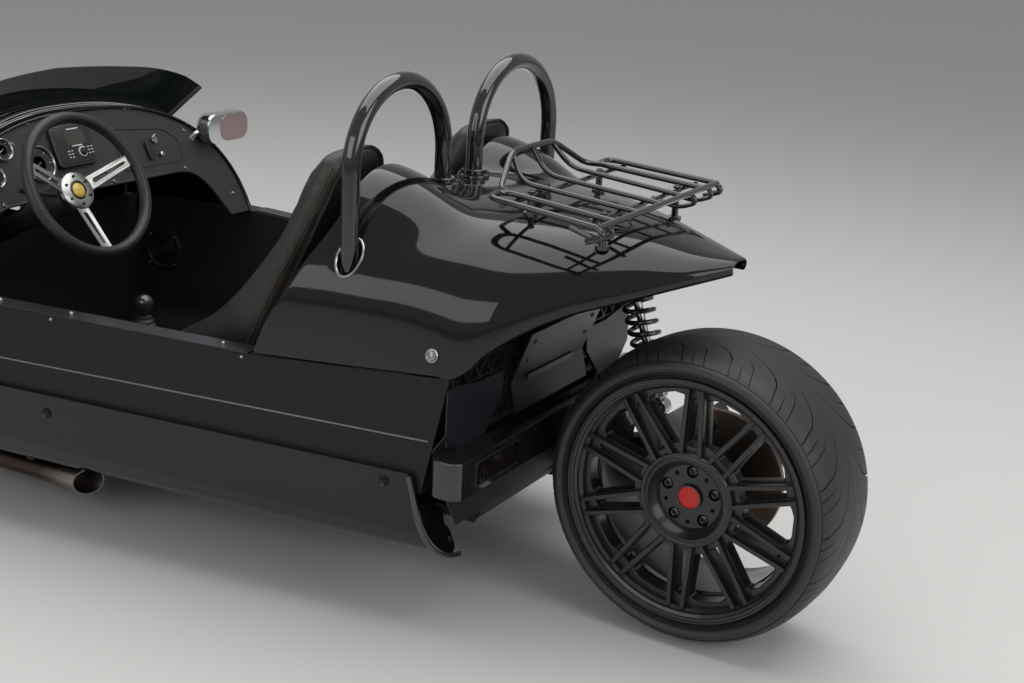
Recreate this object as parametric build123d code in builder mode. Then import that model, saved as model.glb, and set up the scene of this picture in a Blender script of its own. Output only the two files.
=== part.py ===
from math import cos, radians, sin, sqrt, tan
import os

from build123d import *

os.makedirs("parts", exist_ok=True)

# Whole vehicle: +X forward, +Y left, +Z up, origin on the floor under the middle
wheelbase = 2540.0
front_track = 1510.0
front_overhang = 700.0
rear_tyre_r = 326.5
rear_tyre_w = 282.0
front_tyre_r = 318.5
front_tyre_w = 225.0
rear_axle_x = -(wheelbase + front_overhang - rear_tyre_r) / 2
front_axle_x = rear_axle_x + wheelbase
wheel_y = front_track / 2
seat_gap = 0.3          # between pieces that rest on each other
skin_t = 5.0            # moulded body skins

# Body sides in plan: a straight flank that widens forward, then an arc
sill_z = 552.0
wall_t = 52.0           # whole thickness of a cockpit side
floor_z = 155.0
floor_t = 6.0
rear_end = 405.0        # distances ahead of the rear axle
flare_end = 1500.0
side_front = 2120.0
dash_at = 1700.0
bulkhead_at = 560.0
rear_half_w = 402.0
flare_angle = 8.4
turn_r = 1635.0         # plan radius of the front part of each side
turn_angle = 34.0
tunnel_half = 55.0
tunnel_top = 300.0
outward = Vector(-sin(radians(flare_angle)), cos(radians(flare_angle)))


def ahead(distance):
    """X of a point that far ahead of the rear axle."""
    return rear_axle_x + distance


def before(distance):
    """X of a point that far ahead of the front axle."""
    return front_axle_x + distance


def flank(distance):
    """Half width of the straight flank, that far ahead of the rear axle."""
    return rear_half_w + tan(radians(flare_angle)) * (distance - rear_end)


turn_centre = Vector(ahead(flare_end), flank(flare_end)) - outward * turn_r


def side_y(distance):
    """Half width of a side, that far ahead of the rear axle."""
    if distance < flare_end:
        return flank(distance)
    return turn_centre.Y + sqrt(turn_r ** 2 - (ahead(distance) - turn_centre.X) ** 2)


def save(piece, label):
    piece.label = label
    export_step(piece, f"parts/{label}.step")


def side_plan(outer, inner, back, front):
    """Plan of one side between two offsets from its outer face."""
    spare = 300
    rear = Vector(ahead(rear_end - spare), flank(rear_end - spare))
    bend = Vector(ahead(flare_end), flank(flare_end))
    with BuildSketch() as plan:
        with BuildLine():
            outer_line = Line(rear + outward * outer, bend + outward * outer)
            outer_arc = CenterArc(turn_centre, turn_r + outer, 90 + flare_angle, -turn_angle)
            inner_line = Line(rear + outward * inner, bend + outward * inner)
            inner_arc = CenterArc(turn_centre, turn_r + inner, 90 + flare_angle, -turn_angle)
            Line(outer_line @ 0, inner_line @ 0)
            Line(outer_arc @ 1, inner_arc @ 1)
        make_face()
        with Locations((ahead((back + front) / 2), 0)):
            Rectangle(front - back, 4 * rear_half_w, mode=Mode.INTERSECT)
    return plan.sketch


def arch(foot_y, foot_z, shoulder_y, shoulder_z, crown_z):
    """Body section: a foot, a shoulder and a crowned top."""
    with BuildSketch() as section:
        with BuildLine():
            Polyline((-shoulder_y, shoulder_z), (-foot_y, foot_z), (foot_y, foot_z), (shoulder_y, shoulder_z))
            ThreePointArc((shoulder_y, shoulder_z), (0, crown_z), (-shoulder_y, shoulder_z))
        make_face()
    return section.sketch


def tube(points, radius, bend):
    """Round bar along straight runs joined by bends."""
    with BuildPart() as bar:
        with BuildLine() as route:
            FilletPolyline(*points, radius=bend)
        with BuildSketch(Plane(origin=route.line @ 0, z_dir=route.line % 0)):
            Circle(radius)
        sweep(path=route.line)
    return bar.part


# Side panels, from behind the lower sill up to the sill
lip_back = 480.0
lip_z = 365.0
panel_rear_z = 580.0
panel_foot = 45.0       # depth of the panel behind the lower sill
panel_rake = 55.0       # how far its rear edge slopes forward from top to bottom
rear_edge_t = 8.0       # thickness round the rear grille
grille_at = 412.0
grille_t = 4.0

with BuildPart() as side_panels:
    with BuildSketch(Plane.XY):
        add(side_plan(0, -wall_t, rear_end, side_front))
    extrude(amount=panel_rear_z)
    with BuildSketch(Plane.XZ):
        with BuildLine():
            Polyline((ahead(rear_end), panel_rear_z), (ahead(860), sill_z), (ahead(side_front), sill_z),
                     (ahead(side_front), lip_z - panel_foot),
                     (ahead(rear_end + panel_rake), lip_z - panel_foot),
                     (ahead(rear_end), panel_rear_z))
        make_face()
    extrude(amount=-4 * rear_half_w, mode=Mode.INTERSECT)
    with BuildSketch(Plane.XY):
        add(side_plan(-rear_edge_t, -wall_t - 10, rear_end - 10, grille_at + grille_t + seat_gap))
    extrude(amount=panel_rear_z + 10, mode=Mode.SUBTRACT)
    mirror(about=Plane.XZ)
save(side_panels.part, "side_panels")

# Lower sill dimensions, which the tub's rolled edges follow
sill_step = 12.0        # how far they stand out from the panels
sill_roll_r = 130.0
sill_foot = 150.0       # width under the floor
sill_bottom_z = floor_z - skin_t - seat_gap

# Chassis tub: floor, inner sides, tunnel, bulkhead and engine bay sides
inner_t = 4.0
bay_half = 225.0
bay_top = 500.0
bay_front = 550.0       # ahead of the front axle
tub_roll_r = sill_roll_r - sill_step - wall_t - seat_gap
bulkhead_top = 730.0
tower_z = 706.0
arm_in = 156.0          # swing arm's faces, right of the centre plane
arm_out = 200.0
shock_y = -(arm_in + arm_out) / 2 - 10
pivot_x, pivot_z = 470.0, 212.0
pot_r = 42.0            # drive shaft's inner joint
tray_back = 402.0       # raised tray behind the cockpit, over the arm's pivot
tray_z = 268.0
tray_half = 335.0
tray_lip = 105.0
# lifting pads: distance ahead of the rear axle, y
jack_places = ((720, 220), (1840, 250))
jack_l, jack_w, jack_t = 90.0, 70.0, 12.0


def tub_plan(inner, back, front):
    """Plan of the tub, both sides an inset inside the flanks."""
    with BuildSketch() as plan:
        add(side_plan(-inner, -inner - rear_half_w, back, front))
        with Locations((ahead((back + front) / 2), rear_half_w / 4)):
            Rectangle(front - back, rear_half_w / 2)
        mirror(about=Plane.XZ)
    return plan.sketch


def tub_solid(inner, low, high, back, front, roll):
    """A tub form with rolled lower edges."""
    with BuildPart() as body:
        with BuildSketch(Plane.XY.offset(low)):
            add(tub_plan(inner, back, front))
        extrude(amount=high - low)
        long_edges = [e for e in body.edges().group_by(Axis.Z)[0]
                      if abs(e.center().Y) > bay_half and e.length > bay_half * 2]
        fillet(long_edges, radius=roll)
    return body.part


with BuildPart() as chassis_tub:
    add(tub_solid(wall_t + seat_gap, floor_z, sill_z - seat_gap, bulkhead_at - inner_t, side_front,
                  tub_roll_r))
    add(tub_solid(wall_t + seat_gap + inner_t, floor_z + floor_t, sill_z + 10, bulkhead_at,
                  side_front - inner_t, tub_roll_r - inner_t), mode=Mode.SUBTRACT)
    with Locations((ahead((bulkhead_at + side_front) / 2), 0, (floor_z + tunnel_top) / 2)):
        Box(side_front - bulkhead_at, 2 * tunnel_half, tunnel_top - floor_z)
    bay_length = bay_front - (side_front - wheelbase)
    bay_middle = (bay_front + side_front - wheelbase) / 2
    with Locations((before(bay_middle), 0, floor_z + floor_t / 2)):
        Box(bay_length, 2 * bay_half, floor_t)
    with Locations((before(bay_middle), bay_half - inner_t / 2, (floor_z + bay_top) / 2),
                   (before(bay_middle), inner_t / 2 - bay_half, (floor_z + bay_top) / 2)):
        Box(bay_length, inner_t, bay_top - floor_z)
    with BuildSketch(Plane.XZ.offset(-2 * bay_half)):
        with Locations((front_axle_x, front_tyre_r)):
            Circle(pot_r + 6)
    extrude(amount=4 * bay_half, mode=Mode.SUBTRACT)
    with Locations((ahead((tray_back + bulkhead_at - inner_t) / 2), 0, tray_z + inner_t / 2)):
        Box(bulkhead_at - inner_t - tray_back, 2 * tray_half, inner_t)
    with Locations((ahead(tray_back + inner_t / 2), 0, tray_z + tray_lip / 2)):
        Box(inner_t, 2 * tray_half, tray_lip)
    with Locations((ahead(bulkhead_at - inner_t / 2), 0, (sill_z + bulkhead_top) / 2)):
        Box(inner_t, 2 * tray_half, bulkhead_top - sill_z + 10)
    with Locations((ahead(tray_back + 40), -(arm_in + arm_out) / 2, tray_z)):
        Box(120, arm_out - arm_in + 16, 110, mode=Mode.SUBTRACT)
    for y in (204 + seat_gap, -204 - seat_gap):
        with Locations((ahead((pivot_x - 20 + bulkhead_at) / 2), y, (pivot_z + tray_z) / 2 - 14)):
            Box(bulkhead_at - pivot_x + 20, 8, tray_z - pivot_z + 28)
    with Locations((ahead((285 + bulkhead_at) / 2), shock_y, tower_z + 8)):
        Box(bulkhead_at - 285, 44, 16)
    for distance, y in jack_places:
        with Locations((ahead(distance), y, floor_z - jack_t / 2),
                       (ahead(distance), -y, floor_z - jack_t / 2)):
            Box(jack_l, jack_w, jack_t)
save(chassis_tub.part, "chassis_tub")

# Lower sill mouldings, lipped at the top and rolled in under the floor
lip_t = 5.0
sill_rake = 12.0        # how far the rear end slopes back from top to bottom
with BuildPart() as lower_sills:
    with BuildLine() as sill_route:
        Line(Vector(ahead(lip_back - 80), flank(lip_back - 80)), Vector(ahead(flare_end), flank(flare_end)))
        CenterArc(turn_centre, turn_r, 90 + flare_angle, -turn_angle)
    with BuildSketch(Plane(origin=sill_route.line @ 0, x_dir=outward, z_dir=sill_route.line % 0)):
        with BuildLine():
            roll_z = sill_bottom_z + sill_roll_r
            roll_in = sill_step - sill_roll_r
            outer_lean = sill_roll_r * sqrt(0.5)
            inner_lean = (sill_roll_r - skin_t) * sqrt(0.5)
            Polyline((seat_gap, lip_z), (sill_step, lip_z), (sill_step, roll_z))
            ThreePointArc((sill_step, roll_z), (roll_in + outer_lean, roll_z - outer_lean),
                          (roll_in, sill_bottom_z))
            Polyline((roll_in, sill_bottom_z), (sill_step - sill_foot, sill_bottom_z),
                     (sill_step - sill_foot, sill_bottom_z + skin_t), (roll_in, sill_bottom_z + skin_t))
            ThreePointArc((roll_in, sill_bottom_z + skin_t), (roll_in + inner_lean, roll_z - inner_lean),
                          (sill_step - skin_t, roll_z))
            Polyline((sill_step - skin_t, roll_z), (sill_step - skin_t, lip_z - lip_t),
                     (seat_gap, lip_z - lip_t), (seat_gap, lip_z))
        make_face()
    sweep(path=sill_route.line)
    with BuildSketch(Plane.XZ):
        with BuildLine():
            Polyline((ahead(lip_back), lip_z), (ahead(side_front), lip_z), (ahead(side_front), 0),
                     (ahead(lip_back - sill_rake), 0), (ahead(lip_back), lip_z))
        make_face()
    extrude(amount=-4 * rear_half_w, mode=Mode.INTERSECT)
    mirror(about=Plane.XZ)
save(lower_sills.part, "lower_sills")

# Sill plates, flat strips on the tops of the sides
sill_plate_t = 3.0
with BuildPart() as sill_plates:
    with BuildSketch(Plane.XY.offset(sill_z)):
        add(side_plan(-2, 2 - wall_t, 868, side_front))
    extrude(amount=sill_plate_t)
    with BuildSketch(Plane.XZ):
        with Locations((ahead(1280), sill_z)):
            Rectangle(2 * (dash_at - 4 - 1280), 50)
    extrude(amount=-4 * rear_half_w, mode=Mode.INTERSECT)
    mirror(about=Plane.XZ)
save(sill_plates.part, "sill_plates")

# Engine and gearbox, one plain block across the front bay
engine_l, engine_w, engine_h = 420.0, 430.0, 520.0
with BuildPart() as engine_block:
    with Locations((before(60), 0, floor_z + floor_t + seat_gap + engine_h / 2)):
        Box(engine_l, engine_w, engine_h)
save(engine_block.part, "engine_block")

# Cowl in front of the cockpit, open underneath
# distance ahead of the rear axle, foot y, foot z, shoulder y, shoulder z, crown z
cowl_sections = (
    (dash_at, side_y(dash_at) - 3, sill_z, 500, 620, 950),
    (1900, side_y(1900) - 3, sill_z, 495, 630, 948),
    (side_front, side_y(side_front) - 3, sill_z, 440, 640, 925),
)


def cowl_solid(inset, overrun):
    """Outer form of the cowl, or its hollow."""
    with BuildPart() as body:
        for distance, foot_y, foot_z, shoulder_y, shoulder_z, crown_z in cowl_sections:
            end = overrun * ((distance == side_front) - (distance == dash_at))
            with BuildSketch(Plane.YZ.offset(ahead(distance + end))):
                add(arch(foot_y - inset * 1.5, foot_z - overrun, shoulder_y - inset, shoulder_z - inset,
                     crown_z - inset))
        loft()
    return body.part


with BuildPart() as cowl:
    add(cowl_solid(0, 0))
    add(cowl_solid(skin_t, 1), mode=Mode.SUBTRACT)
save(cowl.part, "cowl")

# Bonnet over the engine, narrow between the front wheels
# distance ahead of the front axle, foot y, foot z, shoulder y, shoulder z, crown z
bonnet_sections = (
    (side_front - wheelbase + seat_gap, 436, 502, 436, 640, 925),
    (-250, 384, 502, 385, 630, 905),
    (50, 324, 502, 325, 590, 862),
    (330, 272, 502, 272, 560, 780),
    (560, 240, 502, 240, 530, 690),
)


def bonnet_solid(inset, overrun):
    """Outer form of the bonnet, or its hollow."""
    first, last = bonnet_sections[0][0], bonnet_sections[-1][0]
    with BuildPart() as body:
        for distance, foot_y, foot_z, shoulder_y, shoulder_z, crown_z in bonnet_sections:
            end = overrun * ((distance == last) - (distance == first))
            with BuildSketch(Plane.YZ.offset(before(distance + end))):
                add(arch(foot_y - inset, foot_z - overrun, shoulder_y - inset, shoulder_z, crown_z - inset))
        loft()
    return body.part


with BuildPart() as bonnet:
    add(bonnet_solid(0, 0))
    add(bonnet_solid(skin_t, 1), mode=Mode.SUBTRACT)
save(bonnet.part, "bonnet")

# Nose surround and its mesh grille
nose_back, nose_front = 560.0, 690.0
grille_half_w, grille_low, grille_high = 190.0, 290.0, 610.0
with BuildPart() as nose_surround:
    for distance, shrink in ((nose_back + seat_gap, 0), (nose_front, 22)):
        with BuildSketch(Plane.YZ.offset(before(distance))):
            add(arch(225 - shrink, 250 + shrink, 240 - shrink, 530, 690 - shrink))
    loft()
    fillet(faces().sort_by(Axis.X)[-1].edges(), radius=14)
    with BuildSketch(Plane.YZ.offset(before(nose_front))):
        with Locations((0, (grille_low + grille_high) / 2)):
            Ellipse(grille_half_w, (grille_high - grille_low) / 2)
    extrude(amount=-nose_front, mode=Mode.SUBTRACT)
save(nose_surround.part, "nose_surround")

mesh_t = 4.0
mesh_bar = 5.0
mesh_pitch = 42.0
with BuildPart() as nose_grille:
    with BuildSketch(Plane.YZ.offset(before(nose_front - 60))):
        with Locations((0, (grille_low + grille_high) / 2)):
            Ellipse(grille_half_w - seat_gap, (grille_high - grille_low) / 2 - seat_gap)
            Ellipse(grille_half_w - 12, (grille_high - grille_low) / 2 - 12, mode=Mode.SUBTRACT)
    extrude(amount=mesh_t)
    with BuildSketch(Plane.YZ.offset(before(nose_front - 60))):
        with BuildSketch(mode=Mode.PRIVATE) as bars:
            for turn in (45, -45):
                with Locations(Location((0, (grille_low + grille_high) / 2), turn)):
                    with GridLocations(mesh_pitch, 1, 11, 1):
                        Rectangle(mesh_bar, 500)
        add(bars.sketch)
        with Locations((0, (grille_low + grille_high) / 2)):
            Ellipse(grille_half_w - 6, (grille_high - grille_low) / 2 - 6, mode=Mode.INTERSECT)
    extrude(amount=mesh_t)
save(nose_grille.part, "nose_grille")

# Low windscreen that wraps round the cowl
screen_at = 1960.0
screen_t = 4.0
screen_top = 985.0
screen_half = 400.0
screen_bow = 120.0
with BuildPart() as windscreen:
    with BuildSketch(Plane.XY.offset(700)):
        with BuildLine():
            screen_side = ahead(screen_at - screen_bow)
            ThreePointArc((screen_side, -screen_half), (ahead(screen_at), 0), (screen_side, screen_half))
            Line((screen_side, screen_half), (screen_side - screen_t, screen_half))
            ThreePointArc((screen_side - screen_t, screen_half), (ahead(screen_at - screen_t), 0),
                          (screen_side - screen_t, -screen_half))
            Line((screen_side - screen_t, -screen_half), (screen_side, -screen_half))
        make_face()
    extrude(amount=screen_top - 700)
    with BuildSketch(Plane.YZ.offset(ahead(1700))):
        with BuildLine():
            ThreePointArc((-screen_half - 5, 830), (0, screen_top), (screen_half + 5, 830))
            Polyline((screen_half + 5, 830), (screen_half + 5, 690), (-screen_half - 5, 690),
                     (-screen_half - 5, 830))
        make_face()
    extrude(amount=500, mode=Mode.INTERSECT)
    add(cowl_solid(-seat_gap, 0), mode=Mode.SUBTRACT)
    add(windscreen.solids().sort_by(Axis.Z)[-1], mode=Mode.INTERSECT)
save(windscreen.part, "windscreen")

# Dashboard, a panel across the cockpit under the cowl
dash_t = 30.0
with BuildPart() as dashboard:
    with BuildSketch(Plane.YZ.offset(ahead(dash_at + 2))):
        add(arch(578 - wall_t, sill_z + sill_plate_t + 1, 500, 620, 950))
        with BuildLine():
            Polyline((-700, 400), (700, 400), (700, 540), (442, 549))
            Line((442, 549), (357, 655))
            ThreePointArc((357, 655), (330, 690), (279, 701))
            Line((279, 701), (-279, 701))
            ThreePointArc((-279, 701), (-330, 690), (-357, 655))
            Polyline((-357, 655), (-442, 549), (-700, 540), (-700, 400))
        make_face(mode=Mode.SUBTRACT)
    extrude(amount=dash_t)
    add(cowl_solid(skin_t + seat_gap, 1), mode=Mode.INTERSECT)

# Gauges, radio unit and key plate on the dashboard
# name, y, z, radius of the bezel
gauge_places = ((261, 790, 45), (352, 735, 22), (375, 683, 22))
with BuildPart() as dash_fittings:
    with BuildSketch(Plane.YZ.offset(ahead(dash_at + 2) - seat_gap)):
        for y, z, radius in gauge_places:
            with Locations((y, z)):
                Circle(radius)
        with Locations((120, 830)):
            RectangleRounded(150, 105, 12)
        with Locations((-139, 785)):
            RectangleRounded(120, 85, 10)
    extrude(amount=-14)
    with BuildSketch(Plane.YZ.offset(ahead(dash_at + 2) - seat_gap - 14)):
        for y, z, radius in gauge_places:
            with Locations((y, z)):
                Circle(radius - 6)
    extrude(amount=6, mode=Mode.SUBTRACT)
save(dash_fittings.part, "dash_fittings")

# Tail shell: a base that narrows to a point, and two headrest humps
hump_y = 231.0
hump_z = 790.0
hump_r = 162.0
# distance ahead of the rear axle, foot y, foot z, shoulder y, shoulder z, crown z
flank_sections = (
    (900, 474, 550, 440, 725, 876),
    (660, 440, 565, 428, 722, 884),
    (rear_end, rear_half_w, panel_rear_z + 0.5, 385, 700, 884),
)
tail_sections = (
    (rear_end, rear_half_w, panel_rear_z + 0.5, 385, 700, 884),
    (330, 374, 662, 345, 735, 882),
    (240, 288, 722, 274, 750, 873),
    (140, 194, 757, 186, 777, 858),
    (50, 118, 788, 113, 804, 838),
    (-26, 42, 811, 38, 822, 828),
)


def shell_length(sections, inset):
    """One loft of the shell's base, or of its hollow."""
    drop = inset * 4
    with BuildPart() as length:
        for distance, foot_y, foot_z, shoulder_y, shoulder_z, crown_z in sections:
            if inset and distance < 0:
                distance, foot_y, shoulder_y = distance + 30, foot_y + 4, shoulder_y + 4
            with BuildSketch(Plane.YZ.offset(ahead(distance))):
                add(arch(foot_y - inset * 1.4, foot_z - drop, shoulder_y - inset * 1.4, shoulder_z - inset,
                         crown_z - inset))
        loft()
    return length.part


def shell_solid(inset):
    """Outer form of the tail shell, or its hollow, which is open below and in front."""
    with BuildPart() as body:
        add(shell_length(flank_sections, inset))
        add(shell_length(tail_sections, inset))
        for side in (1, -1):
            with BuildSketch(Plane.XZ.offset(-side * hump_y)):
                with BuildLine():
                    Polyline((ahead(420 + inset * 3), hump_z), (ahead(900), hump_z),
                             (ahead(900), hump_z + 140 - inset))
                    ThreePointArc((ahead(900), hump_z + 140 - inset), (ahead(720), hump_z + hump_r - inset),
                                  (ahead(420 + inset * 3), hump_z))
                make_face()
            revolve(axis=Axis((0, side * hump_y, hump_z), (1, 0, 0)))
    return body.part


with BuildPart() as front_cut:
    with BuildSketch(Plane.XZ):
        with BuildLine():
            Polyline((ahead(862), 500), (ahead(862), sill_z), (ahead(790), 740), (ahead(700), 975),
                     (ahead(1000), 975), (ahead(1000), 500), (ahead(862), 500))
        make_face()
    extrude(amount=700, both=True)
hoop_at = 660.0
hoop_tube_r = 19.0
hoop_inner_y = 64.0
hoop_outer_y = 398.0
hoop_top = 1146.0
with BuildPart() as tail_shell:
    add(shell_solid(0) - shell_solid(skin_t) - front_cut.part)
    with BuildSketch(Plane.XY.offset(650)):
        with Locations((ahead(hoop_at), hoop_inner_y), (ahead(hoop_at), -hoop_inner_y)):
            Circle(hoop_tube_r + seat_gap)
        with Locations((ahead(hoop_at), hoop_outer_y), (ahead(hoop_at), -hoop_outer_y)):
            Ellipse(hoop_tube_r + 14, hoop_tube_r + 8)
    extrude(amount=400, mode=Mode.SUBTRACT)
save(tail_shell.part, "tail_shell")

# Roll hoops behind the seats, with a cross plate that carries them
hoop_foot = 630.0
hoop_arc_r = (hoop_outer_y - hoop_inner_y) / 2
hoop_bend_z = hoop_top - hoop_arc_r - hoop_tube_r
with BuildPart() as roll_hoops:
    with BuildLine(Plane.YZ.offset(ahead(hoop_at))) as hoop_route:
        Line((hoop_inner_y, hoop_foot), (hoop_inner_y, hoop_bend_z))
        ThreePointArc((hoop_inner_y, hoop_bend_z), (hoop_inner_y + hoop_arc_r, hoop_bend_z + hoop_arc_r),
                      (hoop_outer_y, hoop_bend_z))
        Line((hoop_outer_y, hoop_bend_z), (hoop_outer_y, hoop_foot))
    with BuildSketch(Plane.XY.offset(hoop_foot)):
        with Locations((ahead(hoop_at), hoop_inner_y)):
            Circle(hoop_tube_r)
    sweep(path=hoop_route.line)
    with Locations((ahead(hoop_at), hoop_inner_y + hoop_arc_r, hoop_foot - 10)):
        Box(60, 2 * hoop_arc_r + 2 * hoop_tube_r + 8, 40)
    with Locations((ahead((hoop_at + bulkhead_at) / 2), hoop_inner_y + hoop_arc_r,
                    (hoop_foot - 30 + sill_z) / 2)):
        Box(60, 120, hoop_foot - sill_z)
    mirror(about=Plane.XZ)
save(roll_hoops.part, "roll_hoops")

# Luggage rack over the tail: a frame of bars on four feet
rack_front, rack_rear = 430.0, 163.0
rack_half = 268.0
rack_z = 935.0
rack_drop = 27.0        # how much lower the rear is
rack_rod_r = 6.5
rack_rail_z = 1000.0
with BuildPart() as luggage_rack:
    frame_corners = ((rack_front, -rack_half, rack_z), (rack_front, rack_half, rack_z),
                     (rack_rear, rack_half, rack_z - rack_drop), (rack_rear, -rack_half, rack_z - rack_drop))
    rack_runs = [tuple(frame_corners[i] for i in pair) for pair in ((0, 1), (1, 2), (2, 3), (3, 0))]
    rack_runs += [((rack_front, y, rack_z), (rack_rear, y, rack_z - rack_drop)) for y in (-160, -54, 54, 160)]
    rack_runs += [((rack_front, y, rack_z), (rack_front, y, rack_rail_z)) for y in (150, -150)]
    rack_runs += [((rack_front, -150, rack_rail_z), (rack_front, 150, rack_rail_z))]
    for start, end in rack_runs:
        foot, head = Vector(ahead(start[0]), start[1], start[2]), Vector(ahead(end[0]), end[1], end[2])
        with Locations(Location(Plane(origin=foot, z_dir=head - foot))):
            Cylinder(rack_rod_r, (head - foot).length, align=(Align.CENTER, Align.CENTER, Align.MIN))
    for x, y, z in frame_corners + ((rack_front, 150, rack_rail_z), (rack_front, -150, rack_rail_z)):
        with Locations((ahead(x), y, z)):
            Sphere(rack_rod_r)
    for x, y, top in ((rack_front - 30, 54, rack_z - 3), (rack_rear + 40, 54, rack_z - rack_drop + 4),
                      (rack_front - 30, -54, rack_z - 3), (rack_rear + 40, -54, rack_z - rack_drop + 4)):
        with Locations((ahead(x), y, top)):
            Cylinder(9, 60, align=(Align.CENTER, Align.CENTER, Align.MAX))
    add(shell_solid(-seat_gap), mode=Mode.SUBTRACT)
    add(luggage_rack.solids().sort_by(SortBy.VOLUME)[-1], mode=Mode.INTERSECT)
save(luggage_rack.part, "luggage_rack")

# Seats, one solid each in the outline of the real bucket
seat_y = 231.0
seat_half = 172.0
seat_top_half = 112.0
seat_foot_half = 120.0
seat_top_z = 985.0
with BuildPart() as seats:
    with BuildSketch(Plane.XZ.offset(-seat_y)):
        with BuildLine():
            Polyline((ahead(740), seat_top_z - 25), (ahead(895), 520),
                     (ahead(900), floor_z + floor_t + seat_gap), (ahead(1290), floor_z + floor_t + seat_gap),
                     (ahead(1310), 420))
            ThreePointArc((ahead(1310), 420), (ahead(1290), 450), (ahead(1250), 452))
            ThreePointArc((ahead(1250), 452), (ahead(960), 610), (ahead(830), 880))
            ThreePointArc((ahead(830), 880), (ahead(800), 965), (ahead(740), seat_top_z - 25))
        make_face()
    extrude(amount=seat_half, both=True)
    with BuildSketch(Plane(origin=(ahead(600), seat_y, 0), x_dir=(0, 1, 0), z_dir=(1, 0, 0))):
        with BuildLine():
            Polyline((-seat_foot_half, 0), (seat_foot_half, 0), (seat_foot_half, 170), (seat_half, 250),
                     (seat_half, 640), (seat_top_half, 900))
            ThreePointArc((seat_top_half, 900), (0, seat_top_z + 5), (-seat_top_half, 900))
            Polyline((-seat_top_half, 900), (-seat_half, 640), (-seat_half, 250), (-seat_foot_half, 170),
                     (-seat_foot_half, 0))
        make_face()
    extrude(amount=900, mode=Mode.INTERSECT)
    mirror(about=Plane.XZ)
save(seats.part, "seats")

# Wheels. Each is drawn about the Y axis at the origin, outer face to +Y
hub_pin_r = 25.0
hub_fit = 0.05          # radial running clearance of a hub on its pin
bolt_count = 5
bolt_circle_r = 56.0
bolt_hole_r = 7.0
spoke_pairs = 10


def tyre_solid(radius, width, rim_half, barrel_r, lip_r):
    """Tyre ring with rounded shoulders, its beads between the rim's lips."""
    half = width / 2
    bead = rim_half - 12
    seat_r = barrel_r + 1 + seat_gap
    with BuildPart() as body:
        with BuildSketch(Plane.YZ):
            with BuildLine():
                Polyline((-bead, lip_r + 2), (-bead, seat_r), (bead, seat_r), (bead, lip_r + 2))
                ThreePointArc((bead, lip_r + 2), (half, (lip_r + radius) / 2), (half - 12, radius - 8))
                ThreePointArc((half - 12, radius - 8), (0, radius), (12 - half, radius - 8))
                ThreePointArc((12 - half, radius - 8), (-half, (lip_r + radius) / 2), (-bead, lip_r + 2))
            make_face()
        revolve(axis=Axis.Y)
    return body.part


def spoke_pair(inner_r, outer_r, inner_spread, outer_spread, width):
    """Outline of two spokes that draw together towards the rim."""
    with BuildSketch() as pair:
        for side in (1, -1):
            with BuildLine():
                Polyline((inner_r, side * inner_spread), (outer_r, side * outer_spread),
                         (outer_r, side * (outer_spread + width)), (inner_r, side * (inner_spread + width)),
                         (inner_r, side * inner_spread))
            make_face()
    return pair.sketch


def rim_solid(half, lip_r, barrel_r, face_y, hub_r, hub_back, hub_spread, rim_spread, spoke_w):
    """Barrel with two lips, a hub disc and pairs of spokes."""
    barrel_t = 9.0
    with BuildPart() as body:
        with BuildSketch(Plane.YZ):
            with BuildLine():
                Polyline((-half, barrel_r), (-half, lip_r), (-half + 9, lip_r), (-half + 11, barrel_r + 1),
                         (half - 11, barrel_r + 1), (half - 9, lip_r), (half, lip_r),
                         (half, barrel_r - barrel_t), (-half, barrel_r - barrel_t), (-half, barrel_r))
            make_face()
        revolve(axis=Axis.Y)
        with BuildSketch(Plane.YZ):
            with BuildLine():
                Polyline((hub_back, hub_pin_r + hub_fit), (face_y - 22, hub_pin_r + hub_fit),
                         (face_y - 22, 82), (face_y, 86), (face_y, hub_r), (face_y - 10, hub_r + 2),
                         (hub_back, hub_r - 12), (hub_back, hub_pin_r + hub_fit))
            make_face()
        revolve(axis=Axis.Y)
        with BuildSketch(Plane.XZ.offset(-(face_y - 42))):
            for pair in range(spoke_pairs):
                add(spoke_pair(hub_r - 10, barrel_r - 3, hub_spread, rim_spread, spoke_w),
                    rotation=360 / spoke_pairs * (pair + 0.5))
        extrude(amount=-44)
        with BuildSketch(Plane.XZ.offset(-face_y)):
            with PolarLocations(bolt_circle_r, bolt_count, start_angle=90):
                Circle(bolt_hole_r)
        extrude(amount=100, mode=Mode.SUBTRACT)
    return body.part


rear_rim_half = 132.0
rear_lip_r = 267.0
rear_barrel_r = 250.0
rear_face_y = 112.0
rear_hub_back = 62.0
rear_centre = Location((rear_axle_x, 0, rear_tyre_r))
rear_tyre = tyre_solid(rear_tyre_r, rear_tyre_w, rear_rim_half, rear_barrel_r, rear_lip_r)
save(rear_tyre.moved(rear_centre), "rear_tyre")
rear_rim = rim_solid(rear_rim_half, rear_lip_r, rear_barrel_r, rear_face_y, 104, rear_hub_back, 15, 10, 11)
save(rear_rim.moved(rear_centre), "rear_rim")

# Brake discs, each with a hat that bolts to the back of its hub
disc_t = 14.0
hat_t = 8.0


def disc_solid(disc_y, disc_r, hat_r, hub_back):
    """Brake disc at one place on the axle, with its hat and hub sleeve."""
    with BuildPart() as body:
        with BuildSketch(Plane.YZ):
            with BuildLine():
                Polyline((disc_y, disc_r), (disc_y, hub_pin_r + hub_fit),
                         (hub_back - seat_gap, hub_pin_r + hub_fit), (hub_back - seat_gap, hat_r),
                         (hub_back - hat_t, hat_r), (hub_back - hat_t, hat_r - 12),
                         (disc_y + disc_t, hat_r - 12), (disc_y + disc_t, disc_r), (disc_y, disc_r))
            make_face()
        revolve(axis=Axis.Y)
    return body.part


rear_disc_y = -62.0
rear_disc_r = 150.0
rear_disc = disc_solid(rear_disc_y, rear_disc_r, 60, rear_hub_back)
save(rear_disc.moved(rear_centre), "rear_disc")

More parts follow.
